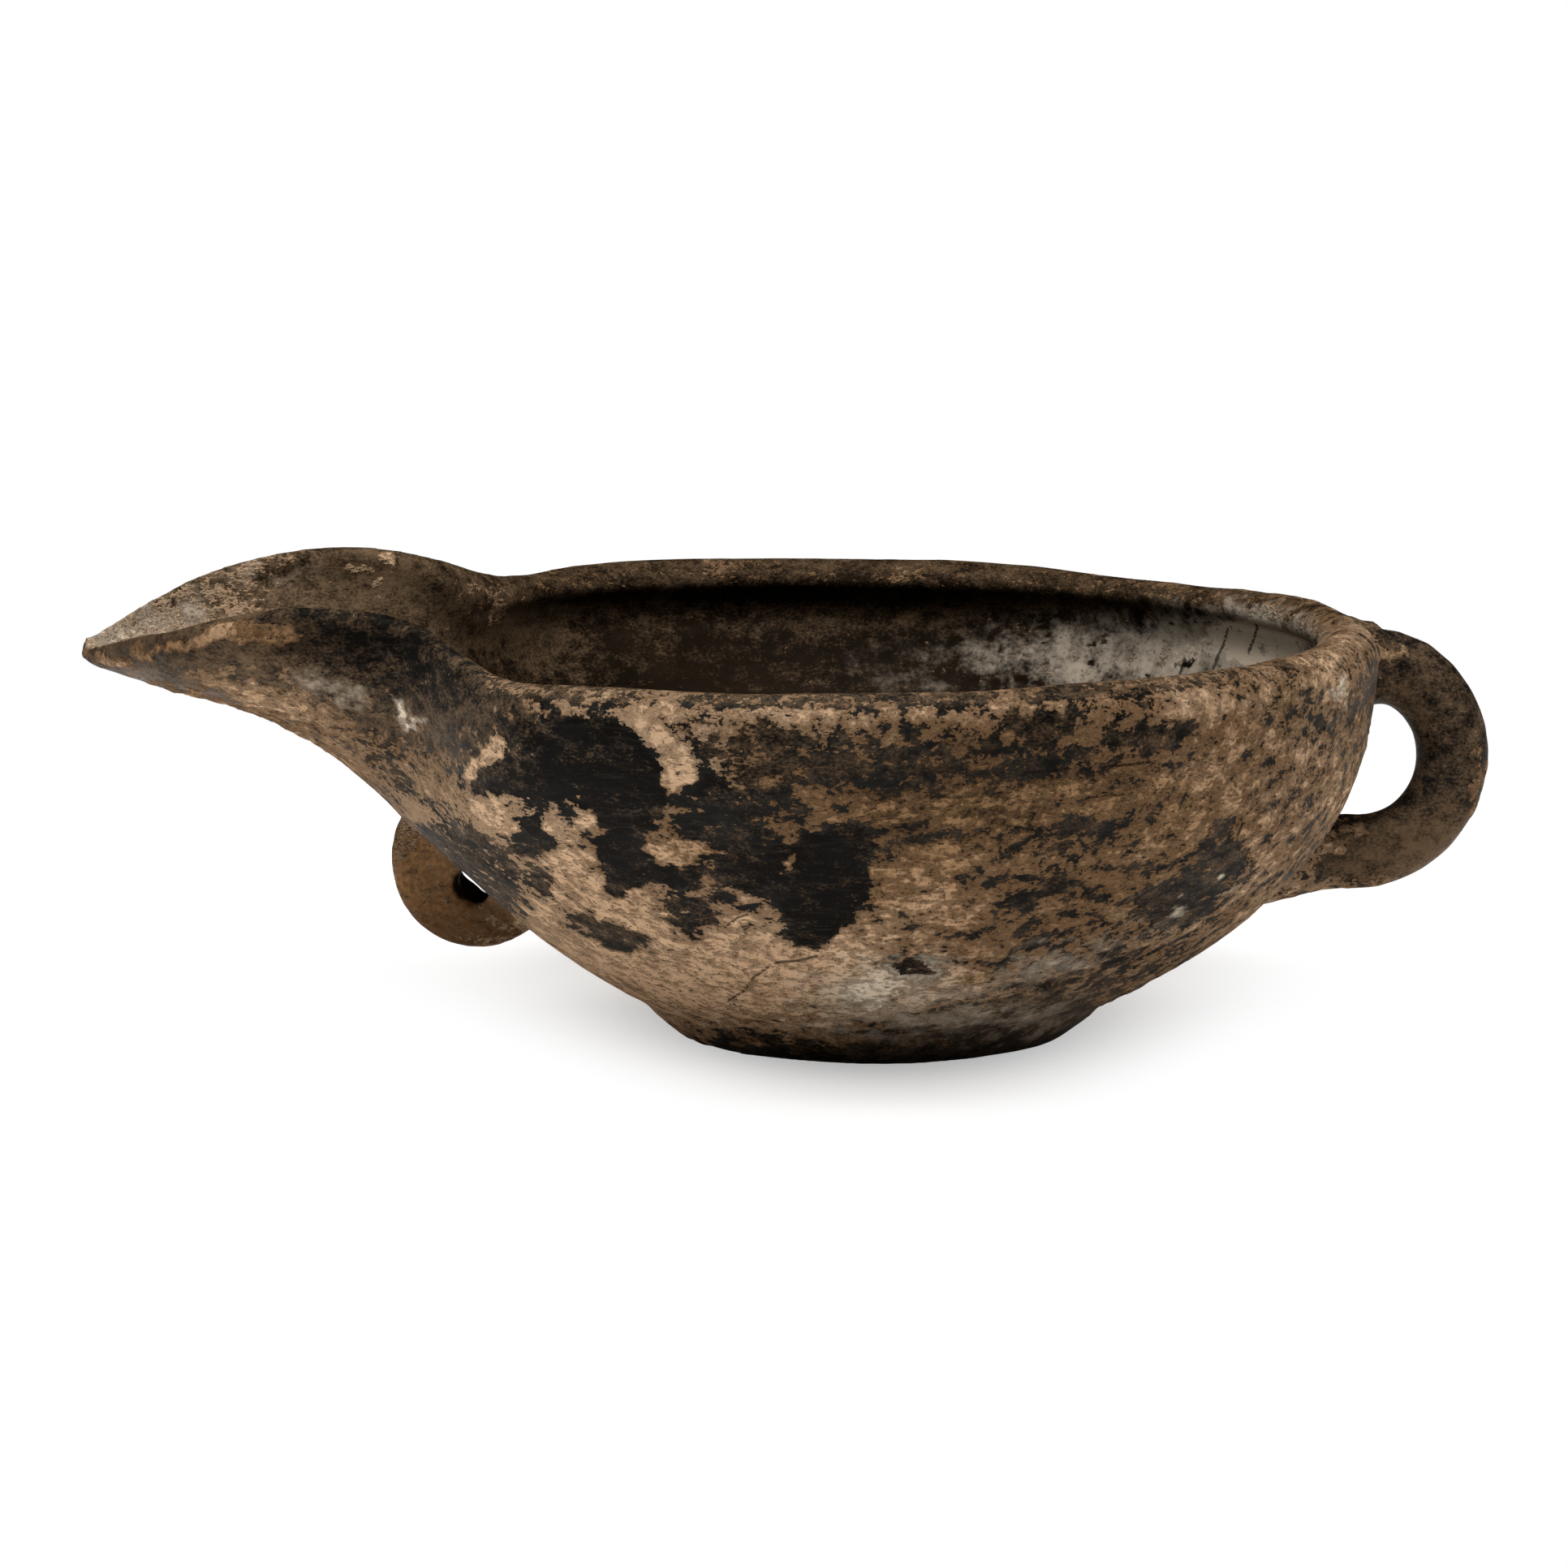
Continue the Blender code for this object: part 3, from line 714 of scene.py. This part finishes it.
# %% Raise the crust and its lumps
CRUST = 0.22 * MM
LUMP = 1.1 * MM

cover = fields["cover"]
crusted = weigh(pot, "crusted", ease(0.45, 0.75, cover) * (1 - 0.6 * fields["inner"]))
dripped = ease(4 * MM, 7 * MM, below) * ease(24 * MM, 12 * MM, below)
wall = (1 - fields["inner"]) * ease(86 * MM, 82 * MM, co[:, 0]) * ease(-70 * MM, -50 * MM, co[:, 0])
keel = ease(-0.3, -0.7, normals(pot)[:, 2])
keel *= ease(-128 * MM, -120 * MM, co[:, 0]) * ease(-86 * MM, -96 * MM, co[:, 0])
lumpy = weigh(pot, "lumpy", np.maximum((0.15 + 0.85 * dripped) * wall, keel) * ease(0.4, 0.8, cover))
raise_crust = pot.modifiers.new("crust", "DISPLACE")
raise_crust.vertex_group = crusted
raise_crust.strength = CRUST
raise_crust.mid_level = 0.0
crumbly = bpy.data.textures.new("crumbly", "CLOUDS")
crumbly.noise_scale = 2.4 * MM
crumbly.noise_depth = 2
raise_lumps = pot.modifiers.new("lumps", "DISPLACE")
raise_lumps.vertex_group = lumpy
raise_lumps.texture = crumbly
raise_lumps.strength = LUMP
settle(pot)
co = points(pot)
co[:, 2] = np.maximum(co[:, 2], 0.0)
pot.data.vertices.foreach_set("co", co.ravel())
pot.data.update()
print("crust raised on", round(float((cover > 0.6).mean()) * 100), "% of the skin")

# %% [markdown]
# ## Back to the pieces
# The cup is one fired body, but a part library wants the pieces that the potter made. So the finished
# skin is cut where the frame has its seams. A flat cut closes each piece, and no cut shows on the
# outside, because both sides of it come from the same skin. Handle and lug are cut just off the wall.

# %% Tools that cut
def block(name, middle, size, turn):
    """Box that cuts: place and size in mm, turned about Y and then about Z, in degrees."""
    spin = Matrix.Rotation(math.radians(turn[1]), 4, "Z")
    spin = spin @ Matrix.Rotation(math.radians(turn[0]), 4, "Y")
    bpy.ops.mesh.primitive_cube_add(size=1.0)
    cube = bpy.context.object
    cube.name = name
    cube.data.transform(Matrix.Diagonal(Vector(size) * MM).to_4x4())
    cube.data.transform(spin.to_3x3().to_4x4() @ Matrix.Translation(Vector(middle) * MM))
    return cube


def cut(obj, cutter, how, name):
    """Copy of an object, cut by a block: INTERSECT keeps what is in the block, DIFFERENCE the rest."""
    take(obj)
    bpy.ops.object.duplicate()
    piece = bpy.context.object
    piece.name = name
    knife = piece.modifiers.new("cut", "BOOLEAN")
    knife.solver = "MANIFOLD"
    knife.operation = how
    knife.object = cutter
    settle(piece)
    return piece


print("tools ready: block, cut")

# %% [markdown]
# The blocks go in order, and each takes its piece from what the earlier ones left. What is left at the
# end is the upper wall.

# %% Cut off one piece after the other
ALL = 400.0
OFF_WALL = 28.9
BLOCKS = [
    ("loop_handle", (100.7, 0, 77), (80, 60, 120), (22.5, 10)),
    ("upper_lute", (91.9, 0, 62), (10, 40, 26), (0, 10)),
    ("lower_lute", (OFF_WALL + 8, 0, 66), (16, 40, 46), (46.4, 10)),
    ("pierced_lug", (OFF_WALL + 20, 0, 72), (40, 24, 60), (46.4, 165)),
    ("foot_pad", (0, 0, 6.15 - ALL / 2), (ALL, ALL, ALL), (0, 0)),
    ("lower_bowl", (0, 0, 30.08 - ALL / 2), (ALL, ALL, ALL), (0, 0)),
    ("spout_trough", (-52.08 - ALL / 2, 0, 0), (ALL, ALL, ALL), (0, 0)),
    ("rim_coil", (0, 0, 60.08 + ALL / 2), (ALL, ALL, ALL), (0, 0)),
]

pieces = {}
rest = pot
for name, middle, size, turn in BLOCKS:
    cutter = block(name + "_block", middle, size, turn)
    pieces[name] = cut(rest, cutter, "INTERSECT", name + "_skin")
    left = cut(rest, cutter, "DIFFERENCE", "rest_of_pot")
    bpy.data.objects.remove(cutter)
    if rest is not pot:
        bpy.data.objects.remove(rest)
    rest = left
pieces["upper_wall"] = rest
rest.name = "upper_wall_skin"
for name, piece in pieces.items():
    print(name, len(piece.data.polygons), "faces")

# %% [markdown]
# ## Carry the fields over
# The cuts made new vertices, so each piece takes its soil from the nearest vertex of the whole skin.
# Cover, tone, lime and crack go into one colour attribute; tone holds some painted shade and lime some
# painted light. Four facts about the clay go into another: if it fired to rust, if it is inside, how
# dusty it is, with some painted light under the rim, and how near the ground, for the painted shade that
# darkens the rusty clay there. Edges are shaded sharp only where a cut meets the skin.

# %% Store the soil on the pieces
tree = KDTree(len(pot.data.vertices))
for index, vertex in enumerate(pot.data.vertices):
    tree.insert(vertex.co, index)
tree.balance()


def store(obj, name, columns):
    """Keep four numbers per vertex as a colour attribute."""
    layer = obj.data.color_attributes.new(name, "FLOAT_COLOR", "POINT")
    layer.data.foreach_set("color", np.stack(columns, axis=1).astype(np.float32).ravel())


for name, piece in pieces.items():
    nearest = [tree.find(vertex.co)[1] for vertex in piece.data.vertices]
    got = {key: values[nearest] for key, values in fields.items()}
    rust = (1 - got["hole_shade"]) * (name == "pierced_lug")
    # Painted shade: how near the ground a point is, to darken the rusty clay there.
    dark = ease(24 * MM, 10 * MM, points(piece)[:, 2])
    store(piece, "soil", [got["cover"], got["tone"], got["lime_and_light"], got["crack"]])
    store(piece, "clay", [rust, got["inner"], got["dust_and_light"], dark])
    piece.vertex_groups.clear()
    take(piece)
    bpy.ops.object.shade_smooth_by_angle(angle=math.radians(60))
bpy.data.objects.remove(pot)

# %% [markdown]
# ## The finish, layer by layer
# All the pieces share one recipe, because they are one pot: burnished clay below, a film of dust on
# it, crust where the cover says so, lime over both, and cracks through all of it. Colours are written as
# on a colour picker and turned to linear light. Sizes are millimetres on the real cup.

# %% Helpers for shader nodes
def colour(code):
    """Linear colour of an sRGB hex code."""
    parts = [int(code[k:k + 2], 16) / 255 for k in (1, 3, 5)]
    return [p / 12.92 if p <= 0.04045 else ((p + 0.055) / 1.055) ** 2.4 for p in parts] + [1.0]


def add(tree, kind, feeds=None, out=0, **settings):
    """Add a node, set or link its inputs, and return one of its outputs."""
    made = tree.nodes.new(kind)
    for name, value in settings.items():
        setattr(made, name, value)
    for socket, value in (feeds or {}).items():
        if isinstance(value, bpy.types.NodeSocket):
            tree.links.new(value, made.inputs[socket])
        else:
            made.inputs[socket].default_value = value
    return made.outputs[out]


def math_node(tree, how, a, b):
    """Two values, put together by a named operation."""
    return add(tree, "ShaderNodeMath", {0: a, 1: b}, operation=how)


def step_node(tree, value, low, high):
    """Smooth step from 0 at low to 1 at high."""
    feeds = {0: value, 1: low, 2: high}
    return add(tree, "ShaderNodeMapRange", feeds, interpolation_type="SMOOTHSTEP")


def mix_node(tree, share, a, b):
    """Colour a, turning to b as share goes from 0 to 1."""
    return add(tree, "ShaderNodeMix", {0: share, 6: a, 7: b}, out=2, data_type="RGBA")


print("colours are linear, for example", [round(c, 3) for c in colour("#836548")])

# %% [markdown]
# Three more helpers make patterns. Grain is noise of a stated size on the cup itself. Pebbles are the
# rounded clods of drying soil. Blend adds up several patterns, each with its share.

# %% Helpers for patterns
def grain(tree, size, detail, stretch=(1.0, 1.0, 1.0)):
    """Noise from 0 to 1 with features of that size in mm on the cup itself."""
    where = add(tree, "ShaderNodeTexCoord", out=3)
    where = add(tree, "ShaderNodeVectorMath", {0: where, 1: stretch}, operation="MULTIPLY")
    feeds = {"Vector": where, "Scale": 1.0 / (size * MM), "Detail": detail, "Roughness": 0.6}
    return add(tree, "ShaderNodeTexNoise", feeds)


def pebbles(tree, size):
    """Rounded clods, that size in mm apart: 0 in the middle of each, about 0.7 between them."""
    where = add(tree, "ShaderNodeTexCoord", out=3)
    return add(tree, "ShaderNodeTexVoronoi", {"Vector": where, "Scale": 1.0 / (size * MM)})


def blend(tree, shares, start):
    """Sum of values, each times its share, on top of a start."""
    total = start
    for value, share in shares.items():
        total = add(tree, "ShaderNodeMath", {0: value, 1: share, 2: total}, operation="MULTIPLY_ADD")
    return total


# %% [markdown]
# ## The shared recipe
# The recipe is a node group, so that every material can hold the same one. It reads the eight fields
# that were stored on the vertices.

# %% Start the recipe and read the fields
recipe = bpy.data.node_groups.new("burnished clay under soil", "ShaderNodeTree")
OUTPUTS = {"Color": "NodeSocketColor", "Roughness": "NodeSocketFloat", "Normal": "NodeSocketVector"}
for name, kind in OUTPUTS.items():
    recipe.interface.new_socket(name, in_out="OUTPUT", socket_type=kind)

soil = add(recipe, "ShaderNodeAttribute", attribute_name="soil")
crack = soil.node.outputs["Alpha"]
parts = add(recipe, "ShaderNodeSeparateColor", {0: soil}).node.outputs
cover, tone, lime_and_light = parts[0], parts[1], parts[2]
about = add(recipe, "ShaderNodeAttribute", attribute_name="clay")
dark = about.node.outputs["Alpha"]
about = add(recipe, "ShaderNodeSeparateColor", {0: about}).node.outputs
rust, inner, dust_and_light = about[0], about[1], about[2]
print("recipe gives:", list(OUTPUTS))

# %% [markdown]
# The vertices are too far apart for the ragged edge of a flake. So noise of two sizes is added to the
# cover, the gaps between clods are taken off, and the crust is wherever the sum passes a level. Mound
# says how far it passes it, which makes the crust thicker away from its edge.

# %% Where the crust lies
ALONG = (0.85, 0.85, 1.2)
fine = grain(recipe, 0.8, 4.0, ALONG)
middle = grain(recipe, 2.3, 4.0, ALONG)
broad = grain(recipe, 7.0, 4.0, ALONG)
speck = blend(recipe, {fine: 0.6, middle: 0.4}, -0.5)
crumb = grain(recipe, 1.0, 6.0)
clods = pebbles(recipe, 2.6)
level = blend(recipe, {speck: 2.1, clods: -0.45, cover: 1.0}, 0.2)
crust = step_node(recipe, level, 0.48, 0.53)
mound = step_node(recipe, level, 0.44, 1.0)

# %% [markdown]
# The burnished clay is warm black where the burnish is whole and greyer where it has worn, with faint
# strokes that run round the cup. Inside it is browner, and the lug fired to rust, which is darkened
# towards the ground as painted shade.

# %% Burnished clay
strokes = grain(recipe, 2.4, 5.0, (0.3, 0.3, 3.0))
cloudy = grain(recipe, 15.0, 4.0)
worn = step_node(recipe, blend(recipe, {cloudy: 0.7, cover: 0.3, middle: 0.3}, 0.0), 0.48, 0.78)
black = mix_node(recipe, worn, colour("#0a0908"), colour("#191a19"))
black = mix_node(recipe, step_node(recipe, strokes, 0.5, 0.85), black, colour("#24211d"))
brown = mix_node(recipe, step_node(recipe, cloudy, 0.3, 0.7), colour("#110b06"), colour("#1c140c"))
black = mix_node(recipe, inner, black, brown)
rusty = mix_node(recipe, step_node(recipe, crumb, 0.3, 0.7), colour("#65472d"), colour("#8f6d49"))
rusty = mix_node(recipe, step_node(recipe, broad, 0.56, 0.72), rusty, colour("#43372a"))
# Painted shade: the rust is darkened towards the ground.
rusty = mix_node(recipe, math_node(recipe, "MULTIPLY", dark, 0.85), rusty, colour("#38210d"))
clay = mix_node(recipe, rust, black, rusty)

# %% [markdown]
# A film of silt lies on the bare clay, thin and speckled. It never hides more than 0.7 of it. In a band
# inside under the rim the film is painted light, which lifts the rim's shade.

# %% Dust on the clay
FILM = 0.7
film = blend(recipe, {dust_and_light: 1.0, grain(recipe, 0.5, 4.0, ALONG): 1.4, middle: 1.2, broad: 0.9}, -1.75)
film = math_node(recipe, "MULTIPLY", step_node(recipe, film, 0.05, 0.95), FILM)
silt = mix_node(recipe, tone, colour("#4d3a28"), colour("#8d7459"))
clay = mix_node(recipe, film, clay, silt)

# %% [markdown]
# The crust goes from dark brown to pale tan. Its pits are darkened, a painted shade in these hollows,
# and charcoal and grit speckle it.

# %% Soil crust over the clay
shade = blend(recipe, {tone: 1.0, broad: 0.6, crumb: 0.6, cloudy: 0.3, mound: 0.2}, -0.64)
tan = mix_node(recipe, step_node(recipe, shade, 0.0, 0.5), colour("#443424"), colour("#836548"))
tan = mix_node(recipe, step_node(recipe, shade, 0.45, 1.0), tan, colour("#c0a080"))
pits = grain(recipe, 1.0, 3.0, (0.5, 0.5, 1.6))
pits = step_node(recipe, blend(recipe, {pits: 1.0, broad: 0.3}, 0.0), 0.83, 0.87)
# Painted shade: the colour is darkened in the pits, where shade falls.
tan = mix_node(recipe, pits, tan, colour("#2c221a"))
specks = step_node(recipe, grain(recipe, 0.75, 3.0), 0.60, 0.66)
tan = mix_node(recipe, math_node(recipe, "MULTIPLY", specks, 0.7), tan, colour("#2c2620"))
surface = mix_node(recipe, crust, clay, tan)

# %% [markdown]
# Lime came out of the ground water as a streaky grey bloom, and as a few white chips. Bloom only shows
# where a dab of lime lies on ground that holds some soil. Inside under the right of the rim, the bloom is
# partly painted light, made paler to lift the rim's shade.

# %% Lime
BLOOM = 0.76
streaks = grain(recipe, 3.0, 4.0, (1.0, 1.0, 0.25))
bloom = blend(recipe, {lime_and_light: 1.0, fine: 0.9, middle: 0.8, streaks: 1.0, broad: 1.6}, -2.15)
bloom = math_node(recipe, "MULTIPLY", step_node(recipe, bloom, 0.0, 1.0), BLOOM)
dabbed = step_node(recipe, lime_and_light, 0.02, 0.3)
soiled = step_node(recipe, cover, 0.04, 0.12)
bloom = math_node(recipe, "MULTIPLY", bloom, math_node(recipe, "MULTIPLY", dabbed, soiled))
surface = mix_node(recipe, bloom, surface, colour("#b5a794"))
chips = step_node(recipe, blend(recipe, {lime_and_light: 1.0, fine: 0.3}, -0.15), 0.74, 0.84)
surface = mix_node(recipe, chips, surface, colour("#cbbba5"))

# %% [markdown]
# Cracks go through all the layers. Fine noise breaks them up, so that they look dried and not drawn.

# %% Cracks
SPLIT = 0.8
split = step_node(recipe, blend(recipe, {crack: 1.0, fine: 0.5}, 0.0), 1.04, 1.14)
surface = mix_node(recipe, math_node(recipe, "MULTIPLY", split, SPLIT), surface, colour("#18120e"))

# %% [markdown]
# Burnished clay has a low sheen that the strokes break up, and soil and lime are dull. The fine relief
# is a bump in millimetres: crust, mounds and crumbs stand up, cracks and pits go in.

# %% Roughness and fine relief
gloss = add(recipe, "ShaderNodeMapRange", {0: strokes, 1: 0.3, 2: 0.7, 3: 0.42, 4: 0.62})
dull = add(recipe, "ShaderNodeMix", {0: crust, 2: gloss, 3: 0.92})
dull = add(recipe, "ShaderNodeMix", {0: bloom, 2: dull, 3: 0.88})
crumbs = math_node(recipe, "MULTIPLY", crumb, crust)
swells = math_node(recipe, "MULTIPLY", middle, mound)
up_in_mm = {crust: 0.25, mound: 0.8, crumbs: 0.6, swells: 0.8, strokes: 0.06}
height = blend(recipe, up_in_mm | {split: -0.3, pits: -0.5}, 0.0)
bump = add(recipe, "ShaderNodeBump", {"Strength": 1.0, "Distance": MM, "Height": height})
result = recipe.nodes.new("NodeGroupOutput")
for socket, value in zip(result.inputs, (surface, dull, bump)):
    recipe.links.new(value, socket)
print("recipe nodes:", len(recipe.nodes))

# %% [markdown]
# Each finish gets its own material with its own name, so that a user of the part can refinish one
# piece. All of them hold the same recipe, and so no seam shows between the pieces.

# %% Give each piece its finish
FINISHES = {
    "foot_clay": ("rough clay of the foot under soil", ["foot_pad"]),
    "bowl_clay": ("burnished clay of the lower bowl, half under soil", ["lower_bowl"]),
    "wall_clay": ("burnished clay of the upper wall under thick soil", ["upper_wall"]),
    "rim_clay": ("worn burnished clay of the rim", ["rim_coil"]),
    "spout_clay": ("burnished clay of the spout with soil streaks", ["spout_trough"]),
    "handle_clay": ("dull burnished clay of the handle", ["loop_handle"]),
    "luting_clay": ("smeared luting clay under soil", ["upper_lute", "lower_lute"]),
    "lug_clay": ("rust-brown clay of the lug", ["pierced_lug"]),
}

for slot, (title, names) in FINISHES.items():
    finish = bpy.data.materials.new(title)
    finish.use_nodes = True
    shader = finish.node_tree.nodes["Principled BSDF"]
    shader.inputs["Specular IOR Level"].default_value = 0.03
    shader.inputs["Specular Tint"].default_value = colour("#cbb8a4")
    group = finish.node_tree.nodes.new("ShaderNodeGroup")
    group.node_tree = recipe
    for made, wanted in (("Color", "Base Color"), ("Roughness", "Roughness"), ("Normal", "Normal")):
        finish.node_tree.links.new(group.outputs[made], shader.inputs[wanted])
    for name in names:
        piece = pieces[name]
        piece.data.materials.clear()
        piece.data.materials.append(finish)
        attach(piece, "root")
        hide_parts(name)
print("finishes:", len(FINISHES))

# %% [markdown]
# ## The studio
# The photograph was taken on a white sweep that is pure white but for a soft shadow close to the cup.
# The sheet is paper that glows a little away from the foot, which lights the lower wall from below.

# %% White sweep
GLOW = 0.42

bpy.ops.mesh.primitive_plane_add(size=8.0)
floor = bpy.context.object
floor.name = "white_sweep"
paper = bpy.data.materials.new("white paper sweep")
paper.use_nodes = True
sheet = paper.node_tree
matt = sheet.nodes["Principled BSDF"]
matt.inputs["Base Color"].default_value = colour("#f4f4f4")
matt.inputs["Roughness"].default_value = 0.9
matt.inputs["Emission Color"].default_value = (1.0, 0.97, 0.93, 1.0)
where = add(sheet, "ShaderNodeTexCoord", out=3)
away = add(sheet, "ShaderNodeVectorMath", {0: where}, out=1, operation="LENGTH")
glow = math_node(sheet, "MULTIPLY", step_node(sheet, away, 0.025, 0.08), GLOW)
sheet.links.new(glow, matt.inputs["Emission Strength"])

# %% [markdown]
# To the camera, the sheet turns to pure white with distance. The shape of that fade is an oval, wider
# behind the cup, because the shadow in the photograph is. Close to the cup most of the paper's own
# shading stays, but a share of white is mixed in even there, to make the shadow as pale as it is.

# %% Fade the sweep to white
spot = add(sheet, "ShaderNodeSeparateXYZ", {0: where}).node.outputs
width = math_node(sheet, "MAXIMUM", blend(sheet, {spot[1]: 0.3}, 0.064), 0.03)
beside = math_node(sheet, "DIVIDE", spot[0], width)
ahead = math_node(sheet, "MAXIMUM", blend(sheet, {spot[1]: -8.0}, 0.24), 0.0)
beyond = add(sheet, "ShaderNodeCombineXYZ", {0: beside, 1: ahead})
beyond = add(sheet, "ShaderNodeVectorMath", {0: beyond}, out=1, operation="LENGTH")
far_off = step_node(sheet, away, 0.15, 0.35)
fade = math_node(sheet, "MAXIMUM", step_node(sheet, beyond, 0.4, 1.15), far_off)
fade = blend(sheet, {fade: 0.62}, 0.38)
looked_at = math_node(sheet, "MULTIPLY", fade, add(sheet, "ShaderNodeLightPath"))
white = add(sheet, "ShaderNodeEmission", {0: (1.0, 1.0, 1.0, 1.0), 1: 1.0})
seen = add(sheet, "ShaderNodeMixShader", {0: looked_at, 1: matt.outputs[0], 2: white})
sheet.links.new(seen, sheet.nodes["Material Output"].inputs[0])
floor.data.materials.append(paper)
print("sweep nodes:", len(sheet.nodes))

# %% [markdown]
# A broad light hangs overhead, a little in front of the cup, with softer light from the left and the
# right. So the crest is bright, and the middle of the wall is dim.

# %% Lights
AIM = Vector((-0.02, 0.0, 0.04))


def lamp(name, at, size, power):
    """Square area light, in metres and watts, aimed at the cup."""
    bpy.ops.object.light_add(type="AREA", location=at)
    light = bpy.context.object
    light.name = name
    light.data.size = size
    light.data.energy = power
    light.rotation_euler = (AIM - Vector(at)).to_track_quat("-Z", "Y").to_euler()


lamp("overhead light", (-0.12, -0.32, 1.38), 0.9, 29.0)
lamp("left light", (-1.3, -0.1, 0.9), 0.9, 5.0)
lamp("right light", (1.3, -0.1, 0.8), 0.9, 4.0)

# %% [markdown]
# The room is white to the camera, but gives the cup only a little light.

# %% Backdrop
world = bpy.data.worlds.new("white room")
bpy.context.scene.world = world
world.use_nodes = True
sky = world.node_tree
lit = sky.nodes["Background"]
lit.inputs["Strength"].default_value = 0.08
seen = add(sky, "ShaderNodeBackground", {0: (1.0, 1.0, 1.0, 1.0), 1: 1.0})
camera_ray = add(sky, "ShaderNodeLightPath")
both = add(sky, "ShaderNodeMixShader", {0: camera_ray, 1: lit.outputs[0], 2: seen})
sky.links.new(both, sky.nodes["World Output"].inputs[0])
bpy.context.scene.view_settings.view_transform = "Standard"
